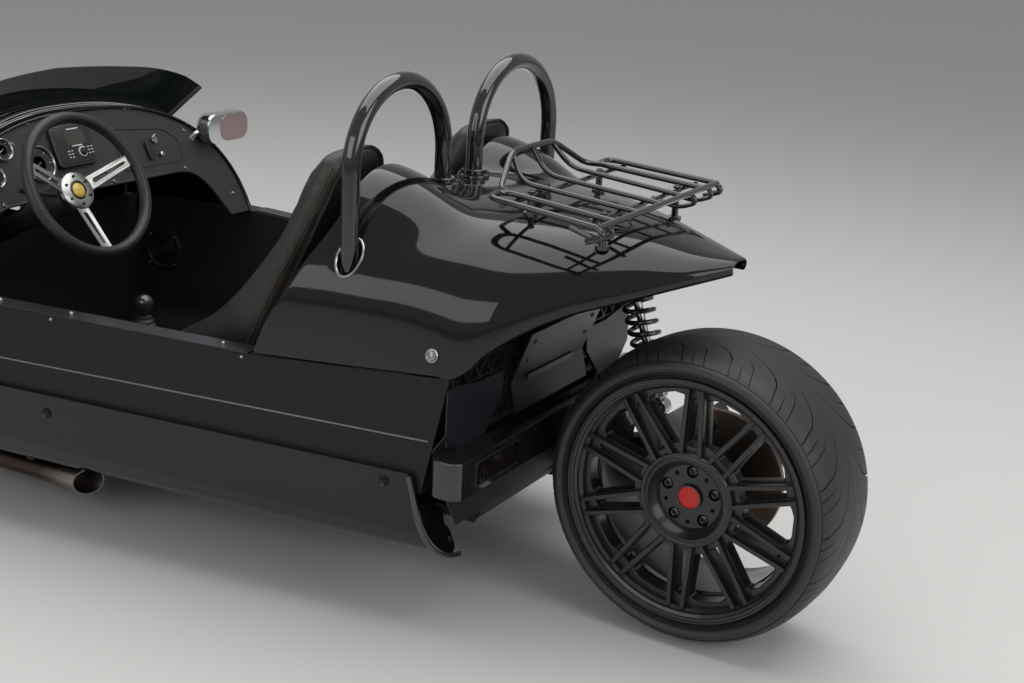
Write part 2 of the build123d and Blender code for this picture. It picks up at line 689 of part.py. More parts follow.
# Front wheels, mirrored from left to right
front_rim_half = 104.0
front_lip_r = 245.0
front_barrel_r = 229.0
front_face_y = 84.0
front_hub_back = 38.0
front_disc_y = 2.0
front_disc_r = 145.0
left_centre = Location((front_axle_x, wheel_y, front_tyre_r))
front_tyre = tyre_solid(front_tyre_r, front_tyre_w, front_rim_half, front_barrel_r, front_lip_r)
front_rim = rim_solid(front_rim_half, front_lip_r, front_barrel_r, front_face_y, 98, front_hub_back,
                      14, 9, 10)
front_disc = disc_solid(front_disc_y, front_disc_r, 58, front_hub_back)
for name, shape in (("front_tyre", front_tyre), ("front_rim", front_rim), ("front_disc", front_disc)):
    left_shape = shape.moved(left_centre)
    save(left_shape, f"{name}_left")
    save(left_shape.mirror(Plane.XZ), f"{name}_right")

# Front knuckles: upright, wheel pin, ball studs, brake caliper and fender bracket
kingpin_in = 80.0       # how far the kingpin stands inside the wheel centre
upright_half = 118.0
upright_face = -68.0    # against the bearing collar
upright_t = 27.0
ball_r = 17.0
ball_z = 137.0          # above and below the axle
stud_r = 8.0
joint_gap = 0.05
shaft_r = 13.0
shaft_ball_r = 20.0
cup_r = 34.0
bracket_z = 176.0
bracket_t = 12.0
with BuildPart() as knuckle:
    with BuildSketch(Plane.XZ.offset(-upright_face)):
        Rectangle(52, 2 * upright_half)
        Circle(52)
    extrude(amount=upright_t)
    with BuildSketch(Plane.XZ.offset(-upright_face)):
        Circle(42)
    extrude(amount=-38)
    with BuildSketch(Plane.XZ.offset(-upright_face)):
        Circle(hub_pin_r)
    extrude(amount=-(front_face_y - 24 - upright_face))
    with BuildSketch(Plane.XZ.offset(-upright_face + upright_t)):
        Circle(cup_r)
    extrude(amount=-upright_t - 10, mode=Mode.SUBTRACT)
    with Locations((0, -kingpin_in, 0)):
        for z in (1, -1):
            with Locations((0, 0, z * (ball_z + ball_r + upright_half - 10) / 2)):
                Cylinder(stud_r, ball_z + ball_r - upright_half + 10)
    with Locations((0, upright_face + 11, (60 + upright_half) / 2)):
        Box(40, 22, upright_half - 60)
    with Locations((0, upright_face + 15, (60 + bracket_z + bracket_t) / 2)):
        Box(40, 14, bracket_z + bracket_t - 60)
    with Locations((0, (upright_face + 22 - 140) / 2, bracket_z + bracket_t / 2)):
        Box(40, 140 + upright_face + 22, bracket_t)
    with Locations((86, upright_face - 6, 0)):
        Box(110, 12, 60)
    with Locations((125, (upright_face + front_disc_y + disc_t + 20) / 2, 0)):
        Box(70, front_disc_y + disc_t + 20 - upright_face, 90)
    with BuildSketch(Plane.XZ.offset(-front_disc_y + 5)):
        Circle(front_disc_r + 5)
    extrude(amount=-disc_t - 10, mode=Mode.SUBTRACT)
    with BuildSketch(Plane.XZ.offset(-front_disc_y + 5)):
        Circle(hub_pin_r)
    extrude(amount=-disc_t - 10)
    with BuildSketch(Plane.XZ.offset(-upright_face - 38)):
        Circle(hub_pin_r)
    extrude(amount=-40)
left_knuckle = knuckle.part.moved(left_centre)
save(left_knuckle, "knuckle_left")
save(left_knuckle.mirror(Plane.XZ), "knuckle_right")

# Front fenders: a crowned blade over each wheel, on two stays
fender_gap = 36.0
fender_half = 136.0      # inner edge, beside the wheel's centre plane
fender_out = front_tyre_w / 2
fender_t = 4.0
stay_x = 130.0
stay_y = -127.0
stay_r = 6.0
fender_arc = 150.0
fender_back = 105.0     # how far it reaches back from the top
with BuildPart() as fender_blade:
    with BuildSketch(Plane.YZ):
        with BuildLine():
            low, high = front_tyre_r + fender_gap - 22, front_tyre_r + fender_gap
            ThreePointArc((-fender_half, low), (0, high), (fender_out, low + 6))
            Line((fender_out, low + 6), (fender_out, low + 6 + fender_t))
            ThreePointArc((fender_out, low + 6 + fender_t), (0, high + fender_t),
                          (-fender_half, low + fender_t))
            Line((-fender_half, low + fender_t), (-fender_half, low))
        make_face()
    revolve(axis=Axis.Y, revolution_arc=fender_arc)
blade = fender_blade.part.rotate(Axis.Y, -fender_back)
with BuildPart() as fender:
    with Locations((0, stay_y, bracket_z + bracket_t + seat_gap + 5)):
        Box(2 * stay_x + 2 * stay_r, 20, 10)
    with Locations((stay_x, stay_y, bracket_z + bracket_t + 5), (-stay_x, stay_y, bracket_z + bracket_t + 5)):
        Cylinder(stay_r, 300, align=(Align.CENTER, Align.CENTER, Align.MIN))
    with BuildSketch(Plane.XZ.offset(-stay_y + 30)):
        Circle(front_tyre_r + fender_gap - 18)
    extrude(amount=-60, mode=Mode.INTERSECT)
    add(blade)
left_fender = fender.part.moved(left_centre)
save(left_fender, "fender_left")
save(left_fender.mirror(Plane.XZ), "fender_right")

# Front suspension: upper and lower arms on bay brackets
arm_r = 11.0
arm_foot_x = 150.0
arm_foot_y = bay_half + 22.0
bracket_w = 44.0
with BuildPart() as front_arms:
    for z in (front_tyre_r - ball_z, front_tyre_r + ball_z):
        ball = Vector(front_axle_x, wheel_y - kingpin_in, z)
        with Locations(ball):
            Sphere(ball_r)
        for x in (arm_foot_x, -arm_foot_x):
            foot = Vector(before(x), arm_foot_y, z)
            with Locations(Location(Plane(origin=foot, z_dir=ball - foot))):
                Cylinder(arm_r, (ball - foot).length, align=(Align.CENTER, Align.CENTER, Align.MIN))
            with Locations((before(x), (bay_half + seat_gap + arm_foot_y + arm_r) / 2, z)):
                Box(bracket_w, arm_foot_y + arm_r - bay_half - seat_gap, bracket_w)
        with Locations(ball):
            Cylinder(stud_r + joint_gap, 4 * ball_r, mode=Mode.SUBTRACT)
    mirror(about=Plane.XZ)
save(front_arms.part, "front_arms")

# Front coil-over dampers, from the lower arms to brackets on the bay sides
coil_x = 62.0
coil_low = Vector(before(coil_x), 505, front_tyre_r - ball_z + arm_r + 16.2 + seat_gap)
coil_high = Vector(before(coil_x), bay_half + 46, 470)


def coil_over(low, high, eye_dir, body_r, coil_r, wire_r, turns):
    """Damper between two eyes with a coil spring round it."""
    length = (high - low).length
    first, last = length * 0.30, length * 0.86
    pitch = (last - first) / turns
    with BuildPart() as body:
        Cylinder(body_r, length * 0.6, align=(Align.CENTER, Align.CENTER, Align.MIN))
        Cylinder(body_r * 0.5, length, align=(Align.CENTER, Align.CENTER, Align.MIN))
        for z in (first, last):
            with Locations((0, 0, z)):
                Cylinder(coil_r + wire_r, 6)
        for turn in range(turns):
            with Locations((0, 0, first + pitch * (turn + 0.5))):
                Torus(coil_r, wire_r)
        with Locations((0, 0, (first + last) / 2)):
            Cylinder(coil_r - wire_r * 0.5, last - first)
        for z in (0, length):
            with Locations((0, 0, z)):
                Cylinder(body_r * 0.9, body_r * 1.6, rotation=(0, 90, 0))
    return body.part.moved(Location(Plane(origin=low, x_dir=eye_dir, z_dir=high - low)))


with BuildPart() as front_dampers:
    add(coil_over(coil_low, coil_high, (1, 0, 0), 18, 29, 5, 8))
    with Locations((coil_high.X, (bay_half + seat_gap + coil_high.Y + 8) / 2, coil_high.Z)):
        Box(30, coil_high.Y + 8 - bay_half - seat_gap, 34)
    mirror(about=Plane.XZ)
save(front_dampers.part, "front_dampers")

# Drive shafts from the gearbox to the knuckles' cups
with BuildPart() as drive_shafts:
    shaft_in = engine_w / 2 + seat_gap
    with BuildSketch(Plane.XZ.offset(-shaft_in)):
        with Locations((front_axle_x, front_tyre_r)):
            Circle(pot_r)
    extrude(amount=-60)
    with BuildSketch(Plane.XZ.offset(-shaft_in)):
        with Locations((front_axle_x, front_tyre_r)):
            Circle(shaft_r)
    extrude(amount=-(wheel_y - kingpin_in - shaft_in))
    with Locations((front_axle_x, wheel_y - kingpin_in, front_tyre_r)):
        Sphere(shaft_ball_r)
    mirror(about=Plane.XZ)
save(drive_shafts.part, "drive_shafts")

# Headlamps on stalks beside the nose
lamp_x, lamp_y, lamp_z = 430.0, 395.0, 620.0
lamp_r = 88.0
with BuildPart() as lamp_pod:
    with BuildSketch(Plane.XZ):
        with BuildLine():
            Polyline((0, -95), (0, 40), (lamp_r - 10, 40), (lamp_r - 8, 48), (lamp_r, 48), (lamp_r, 20))
            ThreePointArc((lamp_r, 20), (lamp_r * 0.66, -60), (0, -95))
        make_face()
    revolve(axis=Axis.Z)
with BuildPart() as lamp_stalk:
    with Locations((before(lamp_x - 20), (lamp_y + 200) / 2, lamp_z - 50)):
        Cylinder(11, lamp_y - 200, rotation=(90, 0, 0))
lamp_place = Location(Plane(origin=(before(lamp_x), lamp_y, lamp_z), z_dir=(1, 0, 0)))
left_lamp = lamp_pod.part.moved(lamp_place) + (lamp_stalk.part - bonnet_solid(-seat_gap, 0))
save(left_lamp + left_lamp.mirror(Plane.XZ), "headlamps")

# Door mirrors on short stalks from the cowl
mirror_x, mirror_y, mirror_z = 1790.0, 480.0, 815.0
with BuildPart() as mirrors:
    with Locations((ahead(mirror_x), mirror_y, mirror_z)):
        Box(56, 150, 92)
    fillet(mirrors.edges(), radius=22)
    with Locations((ahead(mirror_x + 10), mirror_y - 50, mirror_z - 75)):
        Cylinder(9, 150)
    add(cowl_solid(-seat_gap, 0), mode=Mode.SUBTRACT)
    add(mirrors.solids().sort_by(SortBy.VOLUME)[-1], mode=Mode.INTERSECT)
    mirror(about=Plane.XZ)
save(mirrors.part, "mirrors")

# Steering wheel and column
wheel_hub = Vector(ahead(1550), 250, 775)
rake = 28.2             # how far the wheel's face looks up
rim_line_r = 163.0
rim_tube_r = 13.5
column_dir = Vector(cos(radians(rake)), 0, -sin(radians(rake)))
column_plane = Plane(origin=wheel_hub, x_dir=(0, 1, 0), z_dir=column_dir)
hub_depth = 40.0
with BuildPart() as steering_wheel:
    Torus(rim_line_r, rim_tube_r)
    with BuildSketch(Plane.XY.offset(-3)):
        for turn in (0, 120, 240):
            with Locations(Location((0, 0), turn + 90)):
                with Locations((rim_line_r / 2, 0)):
                    Rectangle(rim_line_r, 34)
                with Locations((rim_line_r * 0.62, 0)):
                    SlotOverall(60, 12, mode=Mode.SUBTRACT)
    extrude(amount=6)
    with BuildSketch(Plane.XY.offset(-14)):
        Circle(38)
    extrude(amount=14 + hub_depth)
    with BuildSketch(Plane.XY.offset(hub_depth)):
        Circle(11 + joint_gap)
    extrude(amount=-30, mode=Mode.SUBTRACT)
column_end = 480.0
with BuildPart() as steering_column:
    with BuildSketch(Plane.XY.offset(hub_depth - 28)):
        Circle(11)
    extrude(amount=column_end)
    with BuildSketch(Plane.XY.offset(hub_depth + 8)):
        Circle(27)
    extrude(amount=column_end - 60)
save(steering_wheel.part.moved(Location(column_plane)), "steering_wheel")
steering_column_part = steering_column.part.moved(Location(column_plane))
save(steering_column_part, "steering_column")
with BuildPart() as dashboard_bored:
    add(dashboard.part)
    with BuildSketch(column_plane):
        Circle(27 + seat_gap)
    extrude(amount=column_end, mode=Mode.SUBTRACT)
save(dashboard_bored.part, "dashboard")

# Gear lever with its boot on the tunnel
lever_at = 1600.0
with BuildPart() as gear_lever:
    with BuildSketch(Plane.XY.offset(tunnel_top + seat_gap)):
        with Locations((ahead(lever_at), 0)):
            Circle(44)
    with BuildSketch(Plane.XY.offset(tunnel_top + 55)):
        with Locations((ahead(lever_at), 0)):
            Circle(14)
    loft()
    with Locations((ahead(lever_at), 0, tunnel_top + 90)):
        Cylinder(7, 80)
    with Locations((ahead(lever_at), 0, tunnel_top + 135)):
        Sphere(24)
save(gear_lever.part, "gear_lever")

# Pedals hang from a bar across the driver's footwell
pedal_at = 1960.0
with BuildPart() as pedals:
    with Locations((ahead(pedal_at + 60), 260, 470)):
        Cylinder(10, 230, rotation=(90, 0, 0))
    for y, width in ((190, 50), (260, 66), (330, 50)):
        with Locations((ahead(pedal_at + 42), y, 385)):
            Box(10, 16, 175, rotation=(0, 12, 0))
        with Locations((ahead(pedal_at + 17), y, 300)):
            Box(12, width, 62, rotation=(0, 12, 0))
    with Locations((ahead((pedal_at + 60 + side_front - inner_t) / 2), 260, 470)):
        Box(side_front - inner_t - pedal_at - 60 - 2 * seat_gap, 60, 18)
save(pedals.part, "pedals")

# Single-sided rear swing arm on the right, with its axle pin
pivot_r = 30.0
caliper_turn = 50.0     # the caliper's place round the disc, up from straight ahead
hub_at = (rear_axle_x, rear_tyre_r)
pivot_at = (ahead(pivot_x), pivot_z)
with BuildPart() as swing_arm:
    with BuildSketch(Plane.XZ.offset(arm_in)):
        with BuildSketch(mode=Mode.PRIVATE) as ends:
            with Locations(hub_at):
                Circle(66)
            with Locations(pivot_at):
                Circle(42)
        add(make_hull(ends.sketch.edges()))
        with Locations(Location(hub_at, caliper_turn)):
            with Locations((80, 0)):
                Rectangle(100, 56)
    extrude(amount=arm_out - arm_in)
    with BuildSketch(Plane.XZ.offset(-200)):
        with Locations(pivot_at):
            Circle(pivot_r)
    extrude(amount=400)
    with BuildSketch(Plane.XZ.offset(arm_in)):
        with Locations(hub_at):
            Circle(44)
    extrude(amount=-(arm_in + rear_disc_y - 12))
    with BuildSketch(Plane.XZ.offset(arm_in)):
        with Locations(hub_at):
            Circle(hub_pin_r)
    extrude(amount=-(arm_in + rear_face_y - 24))
    with Locations((ahead(205), -(arm_in + arm_out) / 2, rear_tyre_r + 18)):
        Box(40, arm_out - arm_in, 70)
save(swing_arm.part, "swing_arm")

# Rear brake caliper over the front of the disc
with BuildPart() as rear_caliper:
    with BuildSketch(Plane.XZ.offset(-rear_disc_y - disc_t - 18)):
        with Locations(Location(hub_at, caliper_turn)):
            with Locations((132, 0)):
                Rectangle(70, 130)
    extrude(amount=disc_t + 40)
    with BuildSketch(Plane.XZ.offset(-rear_disc_y - disc_t - 5)):
        with Locations(hub_at):
            Circle(rear_disc_r + 5)
    extrude(amount=disc_t + 10, mode=Mode.SUBTRACT)
    with BuildSketch(Plane.XZ.offset(arm_in - seat_gap)):
        with Locations(Location(hub_at, caliper_turn)):
            with Locations((112, 0)):
                Rectangle(26, 60)
    extrude(amount=-(arm_in + rear_disc_y - 14))
save(rear_caliper.part, "rear_caliper")

# Rear coil-over, from the swing arm to a tower under the tail
shock_low = Vector(ahead(205), shock_y, rear_tyre_r + 53 + 18 + seat_gap)
shock_high = Vector(ahead(305), shock_y, tower_z - 18 - seat_gap)
save(coil_over(shock_low, shock_high, (0, 1, 0), 20, 33, 6, 8), "rear_shock")

# Rear grille under the tail, a frame filled with triangles
grille_foot = 430.0
grille_half = 392.0
triangle = 46.0
grille_bar = 4.0
with BuildPart() as rear_grille:
    with BuildSketch(Plane.YZ.offset(ahead(grille_at))):
        add(arch(grille_half, grille_foot, grille_half - 16, 692, 876))
        with BuildSketch(mode=Mode.PRIVATE) as hole:
            add(arch(grille_half - 12, grille_foot + 12, grille_half - 28, 684, 864))
        add(hole.sketch, mode=Mode.SUBTRACT)
    extrude(amount=grille_t)
    with BuildSketch(Plane.YZ.offset(ahead(grille_at))):
        with BuildSketch(mode=Mode.PRIVATE) as lattice:
            for turn in (0, 60, -60):
                with Locations(Location((0, grille_foot + 200), turn)):
                    with GridLocations(1, triangle * sqrt(0.75), 1, 23):
                        Rectangle(1400, grille_bar)
        add(lattice.sketch)
        add(arch(grille_half - 6, grille_foot + 6, grille_half - 22, 688, 870), mode=Mode.INTERSECT)
    extrude(amount=grille_t)
    with Locations((ahead(grille_at), shock_y, tower_z + 8)):
        Box(60, 56, 28, mode=Mode.SUBTRACT)
save(rear_grille.part, "rear_grille")

# Folded centre panel and two corner panels in front of the rear grille
panel_t = 3.0
centre_half = 160.0
with BuildPart() as rear_centre_panel:
    with BuildSketch(Plane.XZ.offset(-centre_half)):
        with BuildLine():
            Polyline((ahead(360), 625), (ahead(grille_at - 6), 505), (ahead(392), 440),
                     (ahead(392 - panel_t), 440), (ahead(grille_at - 6 - panel_t), 505),
                     (ahead(360 - panel_t), 625), (ahead(360), 625))
        make_face()
    extrude(amount=2 * centre_half)
    with Locations((ahead(grille_at - 8), 0, 505)):
        Box(16 - 2 * seat_gap, 200, 12)
save(rear_centre_panel.part, "rear_centre_panel")

corner_hole_r = 3.0
corner_hole_y, corner_hole_z = 300.0, 500.0
corner_spacing = 90.0
with BuildPart() as rear_corner_panels:
    with BuildSketch(Plane.YZ.offset(ahead(grille_at) - seat_gap)):
        with BuildLine():
            Polyline((175, 552), (330, 562), (368, 552))
            ThreePointArc((368, 552), (372, 500), (395 - 30, 432))
            Polyline((365, 432), (250, 432), (175, 552))
        make_face()
        with Locations((corner_hole_y, corner_hole_z)):
            with GridLocations(corner_spacing, 1, 2, 1):
                Circle(corner_hole_r, mode=Mode.SUBTRACT)
    extrude(amount=-panel_t)
    mirror(about=Plane.XZ)
save(rear_corner_panels.part, "rear_corner_panels")

# Lamp bar across the rear
bar_x = tray_back - 25 - seat_gap
bar_half = 415.0
bar_low, bar_high = 335.0, 408.0
with BuildPart() as rear_lamp_bar:
    with BuildSketch(Plane.XY.offset(bar_low)):
        with Locations((ahead(bar_x), 0)):
            SlotOverall(2 * bar_half, 50, rotation=90)
    extrude(amount=bar_high - bar_low)
save(rear_lamp_bar.part, "rear_lamp_bar")

# Exhaust along the left sill, with hangers under the floor and a slash-cut tip
pipe_r = 27.0
tip_r = 32.0
tip_t = 2.0
tip_l = 100.0
pipe_run = (Vector(before(-250), 150, 115), Vector(ahead(2080), 300, 112), Vector(ahead(1830), 455, 103),
            Vector(ahead(1362), 440, 112))
tip_dir = (pipe_run[3] - pipe_run[2]).normalized()
with BuildPart() as exhaust:
    add(tube(pipe_run, pipe_r, 90))
    with BuildSketch(Plane(origin=pipe_run[3] - tip_dir * tip_l, z_dir=tip_dir)):
        Circle(tip_r)
    extrude(amount=tip_l)
    for x, y, top in ((before(-300), 178, floor_z), (ahead(1990), 356, floor_z),
                      (ahead(1560), 446, sill_bottom_z)):
        with Locations((x, y, (110 + top - seat_gap) / 2)):
            Box(24, 30, top - seat_gap - 110)
    with BuildSketch(Plane(origin=pipe_run[3] - tip_dir * (tip_l - 12), z_dir=tip_dir)):
        Circle(tip_r - tip_t)
    extrude(amount=tip_l, mode=Mode.SUBTRACT)
    with BuildSketch(Plane.XY.offset(50)):
        with BuildLine():
            Polyline((ahead(1362), 400), (ahead(1408), 480), (ahead(1300), 480), (ahead(1300), 400),
                     (ahead(1362), 400))
        make_face()
    extrude(amount=130, mode=Mode.SUBTRACT)
save(exhaust.part, "exhaust")
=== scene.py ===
import bisect
import math

import bmesh
import bpy
from mathutils import Matrix, Vector
from mathutils.bvhtree import BVHTree


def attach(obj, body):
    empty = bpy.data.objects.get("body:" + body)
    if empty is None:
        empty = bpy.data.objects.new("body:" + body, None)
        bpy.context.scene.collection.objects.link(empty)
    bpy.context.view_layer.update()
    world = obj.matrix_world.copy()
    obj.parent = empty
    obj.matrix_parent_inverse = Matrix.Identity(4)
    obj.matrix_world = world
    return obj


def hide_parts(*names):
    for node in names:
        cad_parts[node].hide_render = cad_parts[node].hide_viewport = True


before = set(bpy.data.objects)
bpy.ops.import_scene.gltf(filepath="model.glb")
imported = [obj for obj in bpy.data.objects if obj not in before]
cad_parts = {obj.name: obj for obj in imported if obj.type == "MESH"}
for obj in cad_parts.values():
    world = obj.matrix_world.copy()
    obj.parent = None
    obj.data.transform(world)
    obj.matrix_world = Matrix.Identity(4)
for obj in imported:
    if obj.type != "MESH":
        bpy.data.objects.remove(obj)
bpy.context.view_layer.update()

# Studio: a camera behind the left rear corner, at a standing person's eye
# height, a pale floor and three soft lamps over and beside the car.
IMAGE_W = 1024
focal_px = 1492.5
yaw, pitch, roll = math.radians(-59.92), math.radians(18.05), math.radians(3.09)
look = Vector((math.cos(yaw) * math.cos(pitch), math.sin(yaw) * math.cos(pitch), -math.sin(pitch)))
level_right = look.cross(Vector((0, 0, 1))).normalized()
level_up = level_right.cross(look)
cam_right = level_right * math.cos(roll) + level_up * math.sin(roll)
cam_up = level_up * math.cos(roll) - level_right * math.sin(roll)


def axes(*directions):
    """Turn whose own X, Y and Z point along three directions."""
    return Matrix(directions).transposed().to_4x4()


camera = bpy.data.cameras.new("camera")
camera.sensor_width = 36
camera.lens = focal_px * camera.sensor_width / IMAGE_W
camera_object = bpy.data.objects.new("camera", camera)
bpy.context.collection.objects.link(camera_object)
camera_object.matrix_world = Matrix.Translation((-2.55675, 2.761, 1.579)) @ axes(cam_right, cam_up, -look)
bpy.context.scene.camera = camera_object
bpy.context.scene.view_settings.view_transform = "Standard"


def lamp(name, place, aim, size, watts, colour=(1, 1, 1)):
    """Large soft panel lamp aimed at a point."""
    data = bpy.data.lights.new(name, "AREA")
    data.shape, data.size, data.size_y = "RECTANGLE", size[0], size[1]
    data.energy, data.color = watts, colour
    holder = bpy.data.objects.new(name, data)
    bpy.context.collection.objects.link(holder)
    holder.location = place
    holder.rotation_mode = "QUATERNION"
    holder.rotation_quaternion = (Vector(aim) - Vector(place)).to_track_quat("-Z", "Y")


lamp("lamp_over", (-0.6, -0.6, 4.4), (-0.6, 0, 0), (7.0, 4.4), 190)
lamp("lamp_rear", (-5.6, 0.4, 2.6), (-1.2, 0, 0.6), (3.6, 2.6), 60)
lamp("lamp_side", (-0.4, 5.4, 2.8), (-0.6, 0, 0.4), (6.0, 2.4), 75)
world = bpy.data.worlds.new("studio_air")
bpy.context.scene.world = world
world.use_nodes = True
air = world.node_tree
air.nodes["Background"].inputs["Color"].default_value = (0.62, 0.63, 0.65, 1)
air.nodes["Background"].inputs["Strength"].default_value = 0.55

floor_mesh = bpy.data.meshes.new("floor")
floor_shape = bmesh.new()
bmesh.ops.create_grid(floor_shape, x_segments=1, y_segments=1, size=30)
floor_shape.to_mesh(floor_mesh)
floor_shape.free()
floor = bpy.data.objects.new("floor", floor_mesh)
bpy.context.collection.objects.link(floor)
floor_paint = bpy.data.materials.new("floor_pale")
floor_paint.use_nodes = True
pale = floor_paint.node_tree.nodes["Principled BSDF"].inputs
pale["Base Color"].default_value, pale["Roughness"].default_value = (0.62, 0.61, 0.59, 1), 0.7
floor_mesh.materials.append(floor_paint)


# Chassis tub: folded sheet painted matte black, with the floor, tunnel and
# bulkhead. Every fixed piece is bolted to it.
def node(tree, kind, values=None, feeds=None, **settings):
    """Node of a material or a modifier, with its input values and the sockets that feed it."""
    made = tree.nodes.new(kind)
    for key, value in settings.items():
        setattr(made, key, value)
    for socket, value in (values or {}).items():
        made.inputs[socket].default_value = value
    for socket, source in (feeds or {}).items():
        tree.links.new(source, made.inputs[socket])
    return made


def coat(name, colour, rough, metal=0.0, clear=0.0, drift=0.12, grain=30.0, bump=0.0, bump_scale=300.0,
         shine=0.5, see=0.0):
    """Painted, moulded or metal finish whose tone and roughness drift over the surface."""
    made = bpy.data.materials.new(name)
    made.use_nodes = True
    tree = made.node_tree
    shader = tree.nodes["Principled BSDF"]
    for socket, value in (("Metallic", metal), ("Coat Weight", clear), ("Specular IOR Level", shine),
                          ("Transmission Weight", see), ("Coat Roughness", 0.04)):
        shader.inputs[socket].default_value = value
    where = node(tree, "ShaderNodeTexCoord").outputs["Object"]
    cloud = node(tree, "ShaderNodeTexNoise", {"Scale": grain, "Detail": 4}, {"Vector": where}).outputs["Fac"]
    tones = [tuple(min(1, c * (1 + way * drift)) for c in colour) + (1,) for way in (-1, 1)]
    tone = node(tree, "ShaderNodeMix", {"A": tones[0], "B": tones[1]}, {"Factor": cloud}, data_type="RGBA")
    tree.links.new(tone.outputs["Result"], shader.inputs["Base Color"])
    ends = {"To Min": rough * (1 - drift), "To Max": min(1, rough * (1 + drift))}
    gloss = node(tree, "ShaderNodeMapRange", ends, {"Value": cloud})
    tree.links.new(gloss.outputs["Result"], shader.inputs["Roughness"])
    if bump:
        fine = node(tree, "ShaderNodeTexNoise", {"Scale": bump_scale, "Detail": 3}, {"Vector": where})
        relief = node(tree, "ShaderNodeBump", {"Strength": bump, "Distance": 0.001},
                      {"Height": fine.outputs["Fac"]})
        tree.links.new(relief.outputs["Normal"], shader.inputs["Normal"])
    return made


soften = bpy.data.node_groups.new("soften_by_angle", "GeometryNodeTree")
for way in ("INPUT", "OUTPUT"):
    soften.interface.new_socket("Geometry", in_out=way, socket_type="NodeSocketGeometry")
soft_in = node(soften, "NodeGroupInput").outputs[0]
fold = node(soften, "GeometryNodeInputMeshEdgeAngle").outputs["Unsigned Angle"]
sharper = node(soften, "FunctionNodeCompare", {"B": math.radians(32)}, {"A": fold}, data_type="FLOAT",
               operation="GREATER_THAN")
soft_faces = node(soften, "GeometryNodeSetShadeSmooth", feeds={"Geometry": soft_in})
soft_edges = node(soften, "GeometryNodeSetShadeSmooth", {"Shade Smooth": False},
                  {"Geometry": soft_faces.outputs[0], "Selection": sharper.outputs["Result"]}, domain="EDGE")
node(soften, "NodeGroupOutput", feeds={0: soft_edges.outputs[0]})


def dress(material, *nodes):
    """CAD nodes in their own finish, their facets joined and shaded smooth up to real edges."""
    for name in nodes:
        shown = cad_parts[name]
        shown.data.materials.clear()
        shown.data.materials.append(material)
        shown.modifiers.new("join", "WELD").merge_threshold = 1e-5
        shown.modifiers.new("smooth", "NODES").node_group = soften


dress(coat("tub_black", (0.014, 0.014, 0.015), 0.62, bump=0.25), "chassis_tub")

# Engine and gearbox: cast aluminium in the front bay, bolted to the tub. Two
# painted drive shafts run from it to the front knuckles.
dress(coat("engine_cast", (0.2, 0.2, 0.21), 0.6, metal=0.8, bump=0.5, bump_scale=120), "engine_block")
dress(coat("shaft_black", (0.016, 0.016, 0.016), 0.42, bump=0.2), "drive_shafts")

# Front suspension: cast knuckles and tubular arms with coil-over dampers, the
# arms powder coated black and the knuckles left bare.
dress(coat("cast_grey", (0.24, 0.24, 0.25), 0.5, metal=1.0, bump=0.3), "knuckle_left", "knuckle_right")
arm_black = coat("arm_black", (0.016, 0.016, 0.016), 0.35, clear=0.2)
dress(arm_black, "front_arms", "front_dampers")

# Rear swing arm: one cast arm on the right, painted black, with the wheel's
# pin and the brake caliper. The discs are iron, with fine turning marks.
dress(coat("arm_cast", (0.03, 0.03, 0.032), 0.45, metal=0.3, bump=0.3), "swing_arm")
dress(coat("caliper_silver", (0.34, 0.35, 0.37), 0.34, metal=1.0, bump=0.2), "rear_caliper")
disc_iron = coat("disc_iron", (0.2, 0.145, 0.115), 0.36, metal=1.0, drift=0.2)
marks = disc_iron.node_tree
disc_where = node(marks, "ShaderNodeTexCoord").outputs["Object"]
disc_middle = node(marks, "ShaderNodeMapping", {"Location": (1.45675, 0, -0.3265)}, {"Vector": disc_where})
rings = node(marks, "ShaderNodeTexWave", {"Scale": 160, "Distortion": 0.4},
             {"Vector": disc_middle.outputs["Vector"]}, wave_type="RINGS", rings_direction="Y")
fine_rings = node(marks, "ShaderNodeBump", {"Strength": 0.2, "Distance": 0.0005},
                  {"Height": rings.outputs["Fac"]})
marks.links.new(fine_rings.outputs["Normal"], marks.nodes["Principled BSDF"].inputs["Normal"])
dress(disc_iron, "rear_disc")
dress(coat("front_iron", (0.2, 0.145, 0.115), 0.38, metal=1.0, drift=0.2), "front_disc_left",
      "front_disc_right")

# Tyres: black moulded rubber on all three wheels, mounted on the rims. The
# tread is directional, with long swept grooves between shorter ones, and each
# sidewall carries fine moulded rings.
def piece(name, shape, material, stands_for=(), body="vehicle"):
    """A finished mesh as one named piece that rides on a body of the car."""
    bmesh.ops.remove_doubles(shape, verts=shape.verts, dist=1e-6)
    bmesh.ops.recalc_face_normals(shape, faces=shape.faces)
    for face in shape.faces:
        face.smooth = True
    for edge in shape.edges:
        edge.smooth = len(edge.link_faces) == 2 and edge.calc_face_angle(0) < math.radians(34)
    mesh = bpy.data.meshes.new(name)
    shape.to_mesh(mesh)
    shape.free()
    mesh.materials.append(material)
    made = bpy.data.objects.new(name, mesh)
    bpy.context.collection.objects.link(made)
    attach(made, body)
    if stands_for:
        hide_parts(*stands_for)
    return made


def moved(shape, place):
    """The same mesh, carried to a place."""
    bmesh.ops.transform(shape, matrix=place, verts=shape.verts)
    return shape


def add_to(shape, extra, place=Matrix()):
    """Add a small mesh to a larger one at a place, and let go of the small one."""
    held = bpy.data.meshes.new("held")
    moved(extra, place).to_mesh(held)
    extra.free()
    shape.from_mesh(held)
    bpy.data.meshes.remove(held)


rear_axle = -1.45675
front_axle = 1.08325
rear_centre = Vector((rear_axle, 0, 0.3265))
front_centre = Vector((front_axle, 0.755, 0.3185))
PITCHES = 19
GROOVE_DEEP = 0.0045
GROOVE_WALL = 0.0006
# row of the sidewall where the tread's uneven columns end, and over how many rows they fade
FADE_ROW, FADE_ROWS = 27, 6
